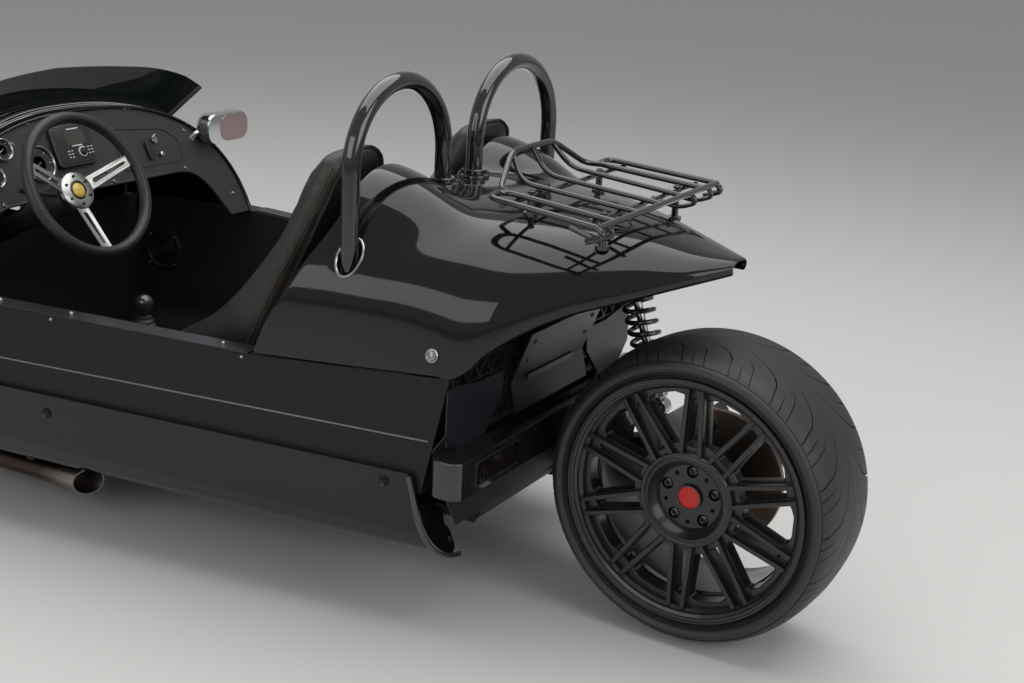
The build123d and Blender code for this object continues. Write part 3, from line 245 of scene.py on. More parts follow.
# lateral place as a share of the half tread, and the sweep there in degrees
sweep_line = ((0.0, 27.0), (0.04, 25.5), (0.2, 17.0), (0.34, 10.0), (0.47, 5.8), (0.61, 3.2), (0.82, 1.7),
              (1.0, 0.0))
# each groove: place in the pitch, half width, where it starts and ends across the tread
grooves = ((0.03, 0.0022, 0.1, 1.0), (0.56, 0.0013, 0.4, 1.0), (0.8, 0.0014, 0.66, 1.0))
land_lines = (0.2, 0.38, 0.68, 0.92)


def clamped(value):
    """Value held between 0 and 1."""
    return min(1.0, max(0.0, value))


def sweep(share):
    """How far the grooves are swept back at a place across the tread."""
    for (low, a), (high, b) in zip(sweep_line, sweep_line[1:]):
        if share <= high:
            return a + (b - a) * (share - low) / (high - low)
    return 0.0


def tread_columns(share, pitch_l):
    """Places round one pitch, each with the share of the groove's depth there."""
    lines = [(place, 0.0) for place in land_lines]
    for place, half, start, end in grooves:
        open_share = clamped((share - start) / 0.22) * clamped((end + 0.05 - share) / 0.05)
        wide = (half * (0.45 + 0.55 * open_share) if open_share else 0.0004) / pitch_l
        wall = min(wide * 0.45, GROOVE_WALL / pitch_l)
        deep = min(1.0, open_share * 2)
        lines += [(place - wide, 0.0), (place - wide + wall, deep), (place + wide - wall, deep),
                  (place + wide, 0.0)]
    return sorted(lines)


def tyre(radius, half, bead, bead_r, seat_r):
    """Tyre about the Y axis, its tread and sidewalls in one grid."""
    tread = half - 0.012
    crown = ((0.0, 0.0), (0.03, 0.0001), (0.07, 0.0003), (0.12, 0.0005), (0.17, 0.0008), (0.22, 0.0011),
             (0.27, 0.0014), (0.32, 0.0018), (0.37, 0.0022), (0.42, 0.0027), (0.47, 0.0032), (0.52, 0.0038),
             (0.57, 0.0045), (0.62, 0.0053), (0.67, 0.0062), (0.72, 0.0073), (0.77, 0.0086), (0.82, 0.0102),
             (0.87, 0.0122), (0.92, 0.015), (0.97, 0.0188), (1.0, 0.0225))
    rows = [(share * tread, radius - drop, share) for share, drop in crown]
    side = radius - crown[-1][1] - bead_r
    wall = ((0.001, 0.985), (-0.0008, 0.965), (0.0012, 0.945), (0.006, 0.86), (0.0105, 0.72), (0.012, 0.58),
            (0.0105, 0.44), (0.007, 0.33), (0.0055, 0.3), (0.0062, 0.285), (0.004, 0.27), (0.0048, 0.24),
            (0.0028, 0.225), (0.0034, 0.19), (0.0005, 0.175), (-0.004, 0.08), (-0.01, 0.0))
    rows += [(tread + out, bead_r + side * up, 2.0) for out, up in wall]
    rows += [(bead, seat_r + 0.003, 2.0), (bead - 0.004, seat_r, 2.0), (0.0, seat_r, 2.0)]
    columns = len(tread_columns(0.5, 0.1))
    shape = bmesh.new()
    for side_sign, phase in ((1, 0.0), (-1, 0.5)):
        made = bmesh.ops.create_grid(shape, x_segments=columns * PITCHES, y_segments=len(rows) - 1, size=1)
        for spot in made["verts"]:
            i = round((spot.co.x + 1) / 2 * columns * PITCHES)
            j = round((spot.co.y + 1) / 2 * (len(rows) - 1))
            y, r, share = rows[j]
            place, deep = tread_columns(min(share, 1.0), 2 * math.pi * radius / PITCHES)[i % columns]
            formed = min(1.0, share * 8) if share <= 1 else max(0.0, (FADE_ROW - j) / FADE_ROWS)
            place = (i % columns) / columns * (1 - formed) + place * formed
            swept = math.radians(sweep(min(share, 1.0)))
            turn = 2 * math.pi * (i // columns + place + phase) / PITCHES + swept
            r -= GROOVE_DEEP * deep * (share <= 1) * (j < len(crown) - 1)
            spot.co = (-r * math.cos(turn), side_sign * y, r * math.sin(turn))
    return shape


tyre_rubber = coat("tyre_rubber", (0.02, 0.02, 0.021), 0.52, drift=0.18, grain=40, bump=0.15, bump_scale=900)
piece("rear_tyre_rubber", moved(tyre(0.3265, 0.141, 0.12, 0.269, 0.2515), Matrix.Translation(rear_centre)),
      tyre_rubber, ["rear_tyre"], "rear_wheel")
for side, sign in (("left", 1), ("right", -1)):
    here = Matrix.Translation((front_axle, sign * front_centre.y, front_centre.z))
    piece(f"front_tyre_rubber_{side}", moved(tyre(0.3185, 0.1125, 0.092, 0.247, 0.2305), here), tyre_rubber,
          [f"front_tyre_{side}"], f"{side}_front_wheel")


# Rims: cast alloy in satin black, with ten twin spokes, a dished hub face and a
# stepped lip. Five bolts hold each to its hub, and a red cap closes the bore.
def turned(shape, outline, steps=96, place=Matrix()):
    """Body turned about a place's Y axis from radius and height pairs, open where they reach the axis."""
    ring = bmesh.new()
    spots = [ring.verts.new((0, y, r)) for r, y in outline]
    lines = [ring.edges.new(pair) for pair in zip(spots, spots[1:])]
    if min(r for r, y in outline) > 0:
        lines.append(ring.edges.new((spots[-1], spots[0])))
    bmesh.ops.spin(ring, geom=spots + lines, cent=(0, 0, 0), axis=(0, 1, 0), angle=2 * math.pi, steps=steps,
                   use_merge=True)
    add_to(shape, ring, place)


# turns the Y axis of a turned piece up, to Z
upright = Matrix.Rotation(math.pi / 2, 4, "X")


def edges_of(made):
    """Edges at the corners that a mesh operator made."""
    return list({edge for spot in made["verts"] for edge in spot.link_edges})


def corners_of(made):
    """Corners among all that a mesh operator made."""
    return [part for part in made["geom"] if isinstance(part, bmesh.types.BMVert)]


def rounded(shape, geom, size, segments, affect="EDGES"):
    """Edges or corners of a mesh, rounded off by a size."""
    bmesh.ops.bevel(shape, geom=geom, offset=size, offset_type="OFFSET", segments=segments, profile=0.5,
                    affect=affect, material=-1)


def around(count, start=0):
    """Angles evenly round a full turn."""
    return [2 * math.pi * (n + start) / count for n in range(count)]


def hoop(radius, segments, turn=0.0, at=0.0):
    """Outline of a round opening, which grows with its level."""
    def drawn(shape, y, grow):
        middle = Vector((-at * math.sin(turn), y, at * math.cos(turn)))
        made = bmesh.ops.create_circle(shape, segments=segments, radius=radius + grow,
                                       matrix=Matrix.Translation(middle) @ upright)
        return edges_of(made)
    return drawn


def window(turn, corners, rounds):
    """Outline of a spoke window with rounded corners, which grows with its level."""
    def drawn(shape, y, grow):
        older = set(shape.edges)
        middle = sum(r for r, across in corners) / len(corners)
        spots = []
        for r, across in corners:
            r += grow * (1 if r > middle else -1)
            across += grow * (across > 0) - grow * (across < 0)
            spots.append(shape.verts.new((-r * math.sin(turn) + across * math.cos(turn), y,
                                          r * math.cos(turn) + across * math.sin(turn))))
        for pair in zip(spots, spots[1:] + spots[:1]):
            shape.edges.new(pair)
        for spot, size in zip(spots, rounds):
            if size:
                rounded(shape, [spot], size, 4, "VERTICES")
        return [edge for edge in shape.edges if edge not in older]
    return drawn


def pierced(shape, levels, outlines):
    """Plate between the first level and the last, with the same openings through each."""
    before = None
    for y, grow in levels:
        rings = [outline(shape, y, grow) for outline in outlines]
        if before is None:
            bmesh.ops.triangle_fill(shape, use_beauty=True, edges=[e for ring in rings for e in ring],
                                    normal=(0, 1, 0))
        else:
            for old, new in zip(before, rings):
                bmesh.ops.bridge_loops(shape, edges=old + new)
        before = rings
    bmesh.ops.triangle_fill(shape, use_beauty=True, edges=[e for ring in before for e in ring],
                            normal=(0, -1, 0))


BOLT_CIRCLE = 0.056
SPOKE_PAIRS = 10
SPOKE_HALF = 0.0075
SPOKE_WIDE, SPOKE_DEEP = 0.0105, 0.02


def rim(half, lip_r, barrel_r, face, hub_r, spread_in, spread_out):
    """Barrel, lip, spokes and hub of one wheel about the Y axis, outer face to +Y."""
    shape = bmesh.new()
    inner = barrel_r - 0.009
    turned(shape, ((lip_r, half - 0.001), (lip_r - 0.001, half), (lip_r - 0.005, half),
                   (lip_r - 0.006, half - 0.002), (lip_r - 0.011, half - 0.003),
                   (lip_r - 0.012, half - 0.006), (inner + 0.008, half - 0.01),
                   (inner + 0.007, half - 0.016), (inner + 0.001, half - 0.022), (inner, half - 0.03),
                   (inner, half - 0.048), (inner - 0.004, half - 0.05), (inner - 0.004, half - 0.062),
                   (inner - 0.009, half - 0.064), (inner - 0.009, half - 0.078),
                   (inner - 0.015, half - 0.082), (inner - 0.015, 0.01 - half * 0.5),
                   (inner - 0.003, -half * 0.68), (inner - 0.003, 0.012 - half),
                   (lip_r - 0.012, 0.004 - half), (lip_r - 0.004, -half), (lip_r, 0.002 - half),
                   (lip_r, 0.009 - half), (barrel_r + 0.001, 0.012 - half), (barrel_r + 0.001, half - 0.012),
                   (lip_r, half - 0.009)), steps=144)
    hub_line = ((0, 0.003), (0.002, 0.0005), (0.006, 0), (0.008, 0.001), (0.009, 0.0005), (0.018, -0.001),
                (0.019, 0.001), (0.023, 0.007), (0.028, 0.015), (0.034, 0.022), (0.036, 0.036), (0.01, 0.05),
                (0, 0.04))
    turned(shape, [(hub_r - narrower, face - lower) for narrower, lower in hub_line])
    pair_turn = 2 * math.pi / SPOKE_PAIRS
    gap_in, gap_out = spread_in - SPOKE_HALF, spread_out - SPOKE_HALF
    r_in, r_out = hub_r + 0.012, inner - 0.014
    narrow = ((r_in, -gap_in), (r_in, gap_in), (r_out - 0.006, gap_out), (r_out - 0.006, -gap_out))

    def beside(r, spread):
        """Place of a spoke's outer edge, seen from the middle line of the wide window."""
        edge = spread + SPOKE_HALF
        return (r * math.cos(pair_turn / 2) + edge * math.sin(pair_turn / 2),
                r * math.sin(pair_turn / 2) - edge * math.cos(pair_turn / 2))

    low_r, low_half = beside(hub_r + 0.016, spread_in)
    high_r, high_half = beside(r_out - 0.004, spread_out)
    bulge = math.sqrt(max(0.0, (r_out + 0.004) ** 2 - (high_half * 0.45) ** 2))
    wide = ((low_r, -low_half), (low_r, low_half), (high_r, high_half), (bulge, high_half * 0.45),
            (bulge, -high_half * 0.45), (high_r, -high_half))
    openings = []
    for pair in range(SPOKE_PAIRS):
        openings.append(window(pair * pair_turn, narrow, (0.006, 0.006, 0.007, 0.007)))
        openings.append(window((pair + 0.5) * pair_turn, wide, (0.003, 0.003, 0.01, 0, 0, 0.01)))
    web = face - 0.013
    pierced(shape, ((web, 0.0015), (web - 0.002, 0), (web - 0.03, -0.0012)),
            [hoop(inner + 0.002, 120), hoop(hub_r - 0.004, 80)] + openings)
    for pair in range(SPOKE_PAIRS):
        for side in (1, -1):
            foot = Vector((side * spread_in, face - 0.01, hub_r - 0.003))
            tip = Vector((side * spread_out, face - 0.004, inner + 0.005))
            along = (tip - foot).normalized()
            out = (Vector((0, 1, 0)) - along * along.y).normalized()
            frame_turn = axes(along.cross(out) * -1, out, along)
            middle = Matrix.Translation((foot + tip) / 2)
            place = Matrix.Rotation(-pair * pair_turn, 4, "Y") @ middle @ frame_turn
            bar = Matrix.Diagonal((SPOKE_WIDE, SPOKE_DEEP, (tip - foot).length, 1))
            made = bmesh.ops.create_cube(shape, size=1, matrix=place @ bar)
            face_out = place.to_3x3() @ Vector((0, 1, 0))
            front = [e for e in edges_of(made)
                     if all((v.co - place.translation).dot(face_out) > 0 for v in e.verts)]
            rounded(shape, front, 0.0028, 2)
    floor_y = face - 0.024
    pierced(shape, ((floor_y, 0.0006), (floor_y - 0.001, 0), (floor_y - 0.012, 0)),
            [hoop(hub_r - 0.03, 72), hoop(0.024, 48)]
            + [hoop(0.0128, 24, turn, BOLT_CIRCLE) for turn in around(5)]
            + [hoop(0.0042, 16, turn, BOLT_CIRCLE) for turn in around(5, 0.5)])
    return shape


def wheel_trim(face):
    """Bolt heads and the centre cap's ring, about the Y axis."""
    shape = bmesh.new()
    bolt_line = ((0, 0.032), (0.004, 0.032), (0.0045, 0.026), (0.0065, 0.0245), (0.0095, 0.0265),
                 (0.0105, 0.029), (0.012, 0.031), (0.012, 0.036), (0, 0.036))
    for turn in around(5):
        turned(shape, [(r, face - lower) for r, lower in bolt_line], steps=18,
               place=Matrix.Translation((-BOLT_CIRCLE * math.sin(turn), 0, BOLT_CIRCLE * math.cos(turn))))
    ring_line = ((0.0285, 0.03), (0.0285, 0.018), (0.0272, 0.016), (0.025, 0.016), (0.024, 0.018),
                 (0.024, 0.03))
    turned(shape, [(r, face - lower) for r, lower in ring_line], steps=48)
    return shape


def cap(face):
    """Domed centre cap about the Y axis."""
    shape = bmesh.new()
    cap_line = ((0, 0.015), (0.01, 0.0154), (0.018, 0.0164), (0.0238, 0.018), (0.0238, 0.028), (0, 0.028))
    turned(shape, [(r, face - lower) for r, lower in cap_line], steps=48)
    return shape


rim_satin = coat("rim_satin", (0.012, 0.012, 0.013), 0.3, clear=0.25, drift=0.12)
bolt_dark = coat("bolt_dark", (0.1, 0.1, 0.105), 0.28, metal=1.0)
cap_red = coat("cap_red", (0.5, 0.012, 0.008), 0.3, drift=0.05)
# half width, lip radius, barrel radius, hub face, hub radius, spoke spread at the hub and at the lip
front_sizes = (0.104, 0.245, 0.229, 0.084, 0.098, 0.0195, 0.0145)
wheels = (("rear", "rear_wheel", rear_centre, 0, (0.132, 0.267, 0.25, 0.112, 0.104, 0.021, 0.0155)),
          ("front_left", "left_front_wheel", front_centre, 0, front_sizes),
          ("front_right", "right_front_wheel", front_centre * Vector((1, -1, 1)), math.pi, front_sizes))
for label, body, centre, turn, sizes in wheels:
    place = Matrix.Translation(centre) @ Matrix.Rotation(turn, 4, "Z")
    hub_face = sizes[3]
    stands_for = label.replace("rear", "rear_rim").replace("front", "front_rim")
    piece(f"{label}_alloy", moved(rim(*sizes), place), rim_satin, [stands_for], body)
    piece(f"{label}_bolts_and_ring", moved(wheel_trim(hub_face), place), bolt_dark, body=body)
    piece(f"{label}_cap", moved(cap(hub_face), place), cap_red, body=body)

# Side panels: folded sheet in satin black, screwed to the tub. A thin
# silver-grey line runs along each one, below its middle.
panel_satin = coat("panel_satin", (0.0065, 0.0065, 0.007), 0.4, drift=0.08, shine=0.32)
dress(panel_satin, "side_panels")
FLANK_LEAN = math.radians(8.4)
flank_end, front_turn_r = 1.5, 1.635


def side_half(ahead):
    """Half width of the body's side, that far ahead of the rear axle."""
    straight = 0.402 + math.tan(FLANK_LEAN) * (min(ahead, flank_end) - 0.405)
    if ahead <= flank_end:
        return straight
    across = ahead - flank_end - front_turn_r * math.sin(FLANK_LEAN)
    return straight - front_turn_r * math.cos(FLANK_LEAN) + math.sqrt(front_turn_r ** 2 - across ** 2)


def side_spot(ahead, out, z, side=1):
    """Point beside the body, out from its side by a distance."""
    return Vector((rear_axle + ahead, side * (side_half(ahead) + out), z))


line_silver = coat("line_silver", (0.38, 0.38, 0.39), 0.35, metal=0.4, drift=0.05)
LINE_BACK, LINE_FRONT = 0.447, 2.105
stripes = bmesh.new()
for side in (1, -1):
    strip = bmesh.new()
    bmesh.ops.create_grid(strip, x_segments=96, y_segments=1, size=1)
    for spot in strip.verts:
        ahead = LINE_BACK + (LINE_FRONT - LINE_BACK) * (spot.co.x + 1) / 2
        spot.co = side_spot(ahead, 0.0006, 0.44 - 0.01 * (ahead - LINE_BACK) + 0.0016 * spot.co.y, side)
    bmesh.ops.solidify(strip, geom=strip.faces[:], thickness=0.0004)
    add_to(stripes, strip)
piece("side_lines", stripes, line_silver)


def aimed(place, out):
    """Place whose Y axis points along a direction."""
    turn = Vector((0, 1, 0)).rotation_difference(Vector(out).normalized())
    return Matrix.Translation(place) @ turn.to_matrix().to_4x4()


def dished_bolt(shape, place, out, radius=0.014):
    """Dished washer with a domed bolt head, standing out along a direction."""
    turned(shape, ((0.0, 0.0055), (radius * 0.22, 0.0055), (radius * 0.3, 0.0048), (radius * 0.45, 0.006),
                   (radius * 0.6, 0.0045), (radius * 0.64, 0.0022), (radius * 0.85, 0.0036), (radius, 0.003),
                   (radius * 1.05, 0.0008), (radius * 1.02, -0.002), (0.0, -0.002)), steps=28,
           place=aimed(place, out))


def rod(shape, route, radius, sides=12, bend=0.0, closed=False):
    """Round bar along a route, its corners bent to a radius where one is given."""
    points = [Vector(p) for p in route]
    smooth = []
    count = len(points)
    for n, point in enumerate(points):
        if bend and (closed or 0 < n < count - 1):
            before, after = points[n - 1], points[(n + 1) % count]
            a, b = (before - point), (after - point)
            cut = min(bend, a.length * 0.48, b.length * 0.48)
            a, b = point + a.normalized() * cut, point + b.normalized() * cut
            smooth += [a * (1 - t) ** 2 + point * 2 * t * (1 - t) + b * t ** 2
                       for t in (0, 0.2, 0.4, 0.6, 0.8, 1)]
        else:
            smooth.append(point)
    line = [p for n, p in enumerate(smooth) if n == 0 or (p - smooth[n - 1]).length > 1e-5]
    rings = []
    last_side = None
    total = len(line)
    for n, point in enumerate(line):
        back = line[n - 1] if n or closed else point
        front = line[(n + 1) % total] if n < total - 1 or closed else point
        along = (front - back).normalized()
        if last_side is None:
            side = along.cross(Vector((0, 0, 1)) if abs(along.z) < 0.9 else Vector((1, 0, 0)))
        else:
            side = last_side - along * last_side.dot(along)
        side.normalize()
        last_side = side
        frame_turn = axes(side, along.cross(side), along)
        made = bmesh.ops.create_circle(shape, segments=sides, radius=radius, matrix=Matrix.Translation(point)
                                       @ frame_turn)
        rings.append(edges_of(made))
    for low, high in zip(rings, rings[1:] + (rings[:1] if closed else [])):
        bmesh.ops.bridge_loops(shape, edges=low + high)
    if not closed:
        for end in (rings[0], rings[-1]):
            bmesh.ops.contextual_create(shape, geom=end)


# Lower sills: deep gloss black mouldings lipped over the panels and rolled in
# under the floor, held by dished bolts, with a beaded end and a closing plate.
gloss_black = coat("gloss_black", (0.004, 0.004, 0.005), 0.1, clear=0.5, drift=0.3, grain=4.0, shine=0.25)
dress(gloss_black, "lower_sills")
LIP_Z, ROLL_Z, STEP_OUT, SILL_ROLL = 0.365, 0.2797, 0.012, 0.13
bolt_bright = coat("bolt_bright", (0.42, 0.42, 0.43), 0.22, metal=1.0)
bolt_black = coat("bolt_black", (0.03, 0.03, 0.032), 0.25, metal=0.7)
SILL_END, SILL_SLANT, SILL_TALL = 0.4815, 0.052, 0.215
sill_bolts, sill_ends, sill_beads = bmesh.new(), bmesh.new(), bmesh.new()


def sill_edge(inset):
    """Outline of the sill's section, from its lip round the roll: how far out, and how high."""
    roll = SILL_ROLL - inset
    turns = [math.radians(turn) for turn in range(0, 87, 6)]
    return [(STEP_OUT - inset, LIP_Z - 0.004), (STEP_OUT - inset, 0.322)] + [
        (STEP_OUT - SILL_ROLL + roll * math.cos(turn), ROLL_Z - roll * math.sin(turn)) for turn in turns]


def sill_back(z):
    """How far ahead the sill's sloping rear edge is at a height."""
    return SILL_END - SILL_SLANT * (LIP_Z - z) / SILL_TALL


def slab(shape, back, front):
    """Flat or folded sheet between two outlines with as many points."""
    rings = [[shape.verts.new(spot) for spot in outline] for outline in (back, front)]
    for n in range(len(back)):
        shape.faces.new((rings[0][n - 1], rings[0][n], rings[1][n], rings[1][n - 1]))
    for ring in rings:
        shape.faces.new(ring)


section = sill_edge(0.0002) + list(reversed(sill_edge(0.003)))
closing_edge = sill_edge(0.0035)
closing_edge += [(-0.114, 0.162), (-0.113, 0.185), (-0.106, 0.206), (-0.094, 0.22), (-0.092, 0.352),
                 (-0.01, 0.358)]
for side in (1, -1):
    for ahead, z in ((0.536, 0.338), (1.384, 0.322), (2.06, 0.318)):
        dished_bolt(sill_bolts, side_spot(ahead, STEP_OUT, z, side), (-math.sin(FLANK_LEAN), side, 0), 0.012)
    slab(sill_ends, [side_spot(0.488, out, z, side) for out, z in section],
         [side_spot(sill_back(z), out, z, side) for out, z in section])
    rod(sill_beads, [side_spot(sill_back(z), out - 0.002, z, side) for out, z in sill_edge(0)], 0.007,
        sides=14)
    slab(sill_ends, *([side_spot(sill_back(z) + deep, out, z, side) for out, z in closing_edge]
                      for deep in (0.011, 0.014)))
    dished_bolt(sill_ends, side_spot(sill_back(0.186) + 0.0105, -0.1, 0.186, side), (-1, 0, 0.24), 0.008)
piece("sill_bolts", sill_bolts, bolt_black)
piece("sill_ends", sill_ends, gloss_black)
piece("sill_beads", sill_beads, coat("bead_gloss", (0.02, 0.02, 0.021), 0.22, clear=1.0, drift=0.1))

# Sill plates: strips of dark brushed aluminium along the cockpit's edges, with
# button-head screws along the middle and small ones under the outer edge.
plate_metal = coat("plate_metal", (0.085, 0.088, 0.095), 0.36, metal=1.0, drift=0.2, grain=60)
dress(plate_metal, "sill_plates")
plate_screws = bmesh.new()
for side in (1, -1):
    for ahead in (0.947, 1.34, 1.535):
        dished_bolt(plate_screws, side_spot(ahead, -0.027, 0.5552, side), (0, 0, 1), 0.0055)
    for ahead in (0.88, 1.369, 1.66):
        dished_bolt(plate_screws, side_spot(ahead, 0.0, 0.5445, side), (0, side, 0), 0.0042)
piece("plate_screws", plate_screws, bolt_bright)


# Cowl and bonnet: two gloss black mouldings with a flat-topped round section.
# The cowl's rear edge leans forward with the dashboard and has a rolled rim.
def eased(table, place):
    """Values between the rows of a table, along a smooth curve through them."""
    rows = sorted(table)
    place = min(max(place, rows[0][0]), rows[-1][0])
    k = max(n for n in range(len(rows) - 1) if rows[n][0] <= place or n == 0)
    low, high = rows[k], rows[k + 1]
    before, after = rows[max(k - 1, 0)], rows[min(k + 2, len(rows) - 1)]
    step = high[0] - low[0]
    t = (place - low[0]) / step
    found = []
    for a, b, c, d in zip(before[1:], low[1:], high[1:], after[1:]):
        rise_low = (c - a) / (high[0] - before[0]) * step
        rise_high = (d - b) / (after[0] - low[0]) * step
        found.append((2 * t ** 3 - 3 * t ** 2 + 1) * b + (t ** 3 - 2 * t ** 2 + t) * rise_low
                     + (3 * t ** 2 - 2 * t ** 3) * c + (t ** 3 - t ** 2) * rise_high)
    return found


# ahead of the rear axle: half width at the foot, foot height, crown height, fullness
cowl_rows = ((1.7, 0.52, 0.5555, 0.888, 2.4), (1.85, 0.512, 0.5555, 0.889, 2.4),
             (1.99, 0.486, 0.5555, 0.882, 2.4), (2.12, 0.447, 0.5555, 0.868, 2.4))
bonnet_rows = ((2.122, 0.44, 0.503, 0.868, 2.4), (2.29, 0.39, 0.503, 0.85, 2.4),
               (2.59, 0.325, 0.503, 0.812, 2.4), (2.87, 0.273, 0.503, 0.758, 2.4),
               (3.099, 0.24, 0.503, 0.69, 2.4))
COWL_BACK, DASH_LEAN, DASH_FOOT = 1.7, 0.45, 0.5555


def arch_spot(rows, ahead, share):
    """Point of the section there: share -1 is the right foot, 0 the crown, 1 the left foot."""
    half, foot_z, crown_z, full = eased(rows, ahead)
    turn = (1 - abs(share)) * math.pi / 2
    y = half * math.cos(turn) ** (2 / full)
    rise = math.sin(turn) ** (2 / full)
    return math.copysign(y, share) if share else 0.0, foot_z + (crown_z - foot_z) * rise


def arch_height(rows, ahead, y):
    """Height of the section above a place across the car."""
    half, foot_z, crown_z, full = eased(rows, ahead)
    return foot_z + (crown_z - foot_z) * (1 - min(1.0, abs(y) / half) ** full) ** (1 / full)


def rim_spot(share, inset=0.0):
    """Point on the cowl's leaning rear edge."""
    ahead = COWL_BACK
    for _ in range(8):
        y, z = arch_spot(cowl_rows, ahead, share)
        ahead = COWL_BACK + DASH_LEAN * (z - DASH_FOOT)
    away = Vector((y, z - 0.66)).normalized() * inset
    return Vector((rear_axle + COWL_BACK + DASH_LEAN * (z - away.y - DASH_FOOT), y - away.x, z - away.y))


def skin(rows, back, front):
    """Moulded skin between its rear and front edges."""
    shape = bmesh.new()
    bmesh.ops.create_grid(shape, x_segments=48, y_segments=96, size=1)
    for spot in shape.verts:
        share = round(spot.co.y, 5)
        start = back(share)
        ahead = start + (front - start) * (spot.co.x + 1) / 2
        y, z = arch_spot(rows, ahead, share)
        spot.co = (rear_axle + ahead, y, z)
    return shape


def walled(made, thickness=0.004, offset=-1):
    """Give a skin its thickness, inwards or to both sides."""
    wall = made.modifiers.new("wall", "SOLIDIFY")
    wall.thickness, wall.offset = thickness, offset


cowl_skin = skin(cowl_rows, lambda share: rim_spot(share).x - rear_axle, cowl_rows[-1][0])
cowl = piece("cowl_moulding", cowl_skin, gloss_black, ["cowl"])
hood_skin = skin(bonnet_rows, lambda share: bonnet_rows[0][0], bonnet_rows[-1][0])
hood = piece("bonnet_moulding", hood_skin, gloss_black, ["bonnet"])
for moulding in (cowl, hood):
    walled(moulding)
cowl_rim = bmesh.new()
rod(cowl_rim, [rim_spot(n / 48, 0.002) for n in range(-48, 49)], 0.0045, sides=10)
piece("cowl_rim", cowl_rim, gloss_black)

# Nose: a rounded surround in gloss black with a woven black mesh behind a
# bright ring, and the fenders over the front wheels, on their stays.
dress(gloss_black, "nose_surround", "fender_left", "fender_right")
grille_black = coat("grille_black", (0.01, 0.01, 0.01), 0.45)
dress(grille_black, "nose_grille")
trim_chrome = coat("trim_chrome", (0.62, 0.62, 0.64), 0.08, metal=1.0, drift=0.03)
nose_ring = bmesh.new()
ring_line = [(front_axle + 0.6848, 0.1885 * math.cos(turn), 0.45 + 0.1585 * math.sin(turn))
             for turn in around(72)]
rod(nose_ring, ring_line, 0.0048, sides=10, closed=True)
piece("nose_ring", nose_ring, trim_chrome)

# Headlamps: black bowls on stalks beside the nose, each with a bright bezel, a
# polished reflector with a bulb shield, and a domed clear glass.
dress(gloss_black, "headlamps")
bezels, glasses = bmesh.new(), bmesh.new()
facing_ahead = Matrix.Rotation(-math.pi / 2, 4, "Z")
for side in (1, -1):
    lamp_at = Matrix.Translation((front_axle + 0.43, side * 0.395, 0.62)) @ facing_ahead
    turned(bezels, ((0.08, 0.0405), (0.08, 0.048), (0.082, 0.05), (0.085, 0.0505), (0.088, 0.049),
                    (0.089, 0.044), (0.0886, 0.03), (0.0879, 0.03), (0.0879, 0.048), (0.081, 0.048),
                    (0.081, 0.0405)), steps=64, place=lamp_at)
    turned(bezels, ((0.0, 0.044), (0.01, 0.044), (0.012, 0.042), (0.016, 0.0412), (0.03, 0.0418),
                    (0.031, 0.0408), (0.05, 0.0424), (0.051, 0.041), (0.079, 0.044), (0.079, 0.0402),
                    (0.0, 0.0402)), steps=64, place=lamp_at)
    turned(glasses, ((0.0, 0.059), (0.025, 0.058), (0.05, 0.0552), (0.07, 0.051), (0.0795, 0.047),
                     (0.0795, 0.0455), (0.069, 0.049), (0.049, 0.0532), (0.025, 0.056), (0.0, 0.057)),
           steps=64, place=lamp_at)
piece("headlamp_bezels", bezels, trim_chrome)
lamp_glass = coat("lamp_glass", (0.9, 0.92, 0.93), 0.02, drift=0.02, see=0.96)
piece("headlamp_glasses", glasses, lamp_glass)

# Windscreen: a low band of dark tinted glass bent round the cowl, in a black
# seal with bright beads along its base, and a slim black post at each end.
screen_tops = ((0.0, 0.99), (0.11, 0.985), (0.2, 0.979), (0.31, 0.967), (0.39, 0.943), (0.436, 0.912))
SCREEN_HALF, SCREEN_FOOT = 0.436, 0.8
screen_tint = coat("screen_tint", (0.012, 0.016, 0.0155), 0.02, drift=0.05, shine=0.3, see=0.78)


def screen_spot(y, up):
    """Point of the windscreen, from its base on the cowl to its top edge."""
    across = y * (SCREEN_FOOT + (1 - SCREEN_FOOT) * up)
    ahead = 1.93 - 0.5 * across * across
    low, high = arch_height(cowl_rows, 1.93 - 0.32 * y * y, y * SCREEN_FOOT), eased(screen_tops, abs(y))[0]
    return Vector((rear_axle + ahead - 0.02 * up, across, low - 0.002 + (high - low + 0.002) * up))


screen = bmesh.new()
bmesh.ops.create_grid(screen, x_segments=80, y_segments=10, size=1)
for spot in screen.verts:
    spot.co = screen_spot(SCREEN_HALF * spot.co.x, (spot.co.y + 1) / 2)
tinted = piece("tinted_screen", screen, screen_tint, ["windscreen"])
walled(tinted, offset=0)
seals, beads = bmesh.new(), bmesh.new()
base_line = [screen_spot(SCREEN_HALF * n / 40, 0.0) for n in range(-40, 41)]
for strip, ahead, up, thick, sides in ((seals, -0.002, 0.004, 0.0065, 10), (beads, -0.013, 0.006, 0.0042, 10),
                                       (beads, -0.026, 0.004, 0.0036, 10), (beads, 0.008, 0.002, 0.0028, 8)):
    rod(strip, [p + Vector((ahead, 0, up)) for p in base_line], thick, sides=sides)
for side in (1, -1):
    rod(seals, [screen_spot(side * (SCREEN_HALF + 0.001), share) for share in (-0.05, 0.5, 0.985)], 0.0075,
        sides=12)
seal_rubber = coat("seal_rubber", (0.01, 0.01, 0.01), 0.5)
piece("screen_seals", seals, seal_rubber)
piece("screen_beads", beads, trim_chrome)

# Mirrors: rounded pods in polished chrome on short stems from the cowl, with a
# rounded mirror glass that faces back.
pods, mirror_glasses = bmesh.new(), bmesh.new()


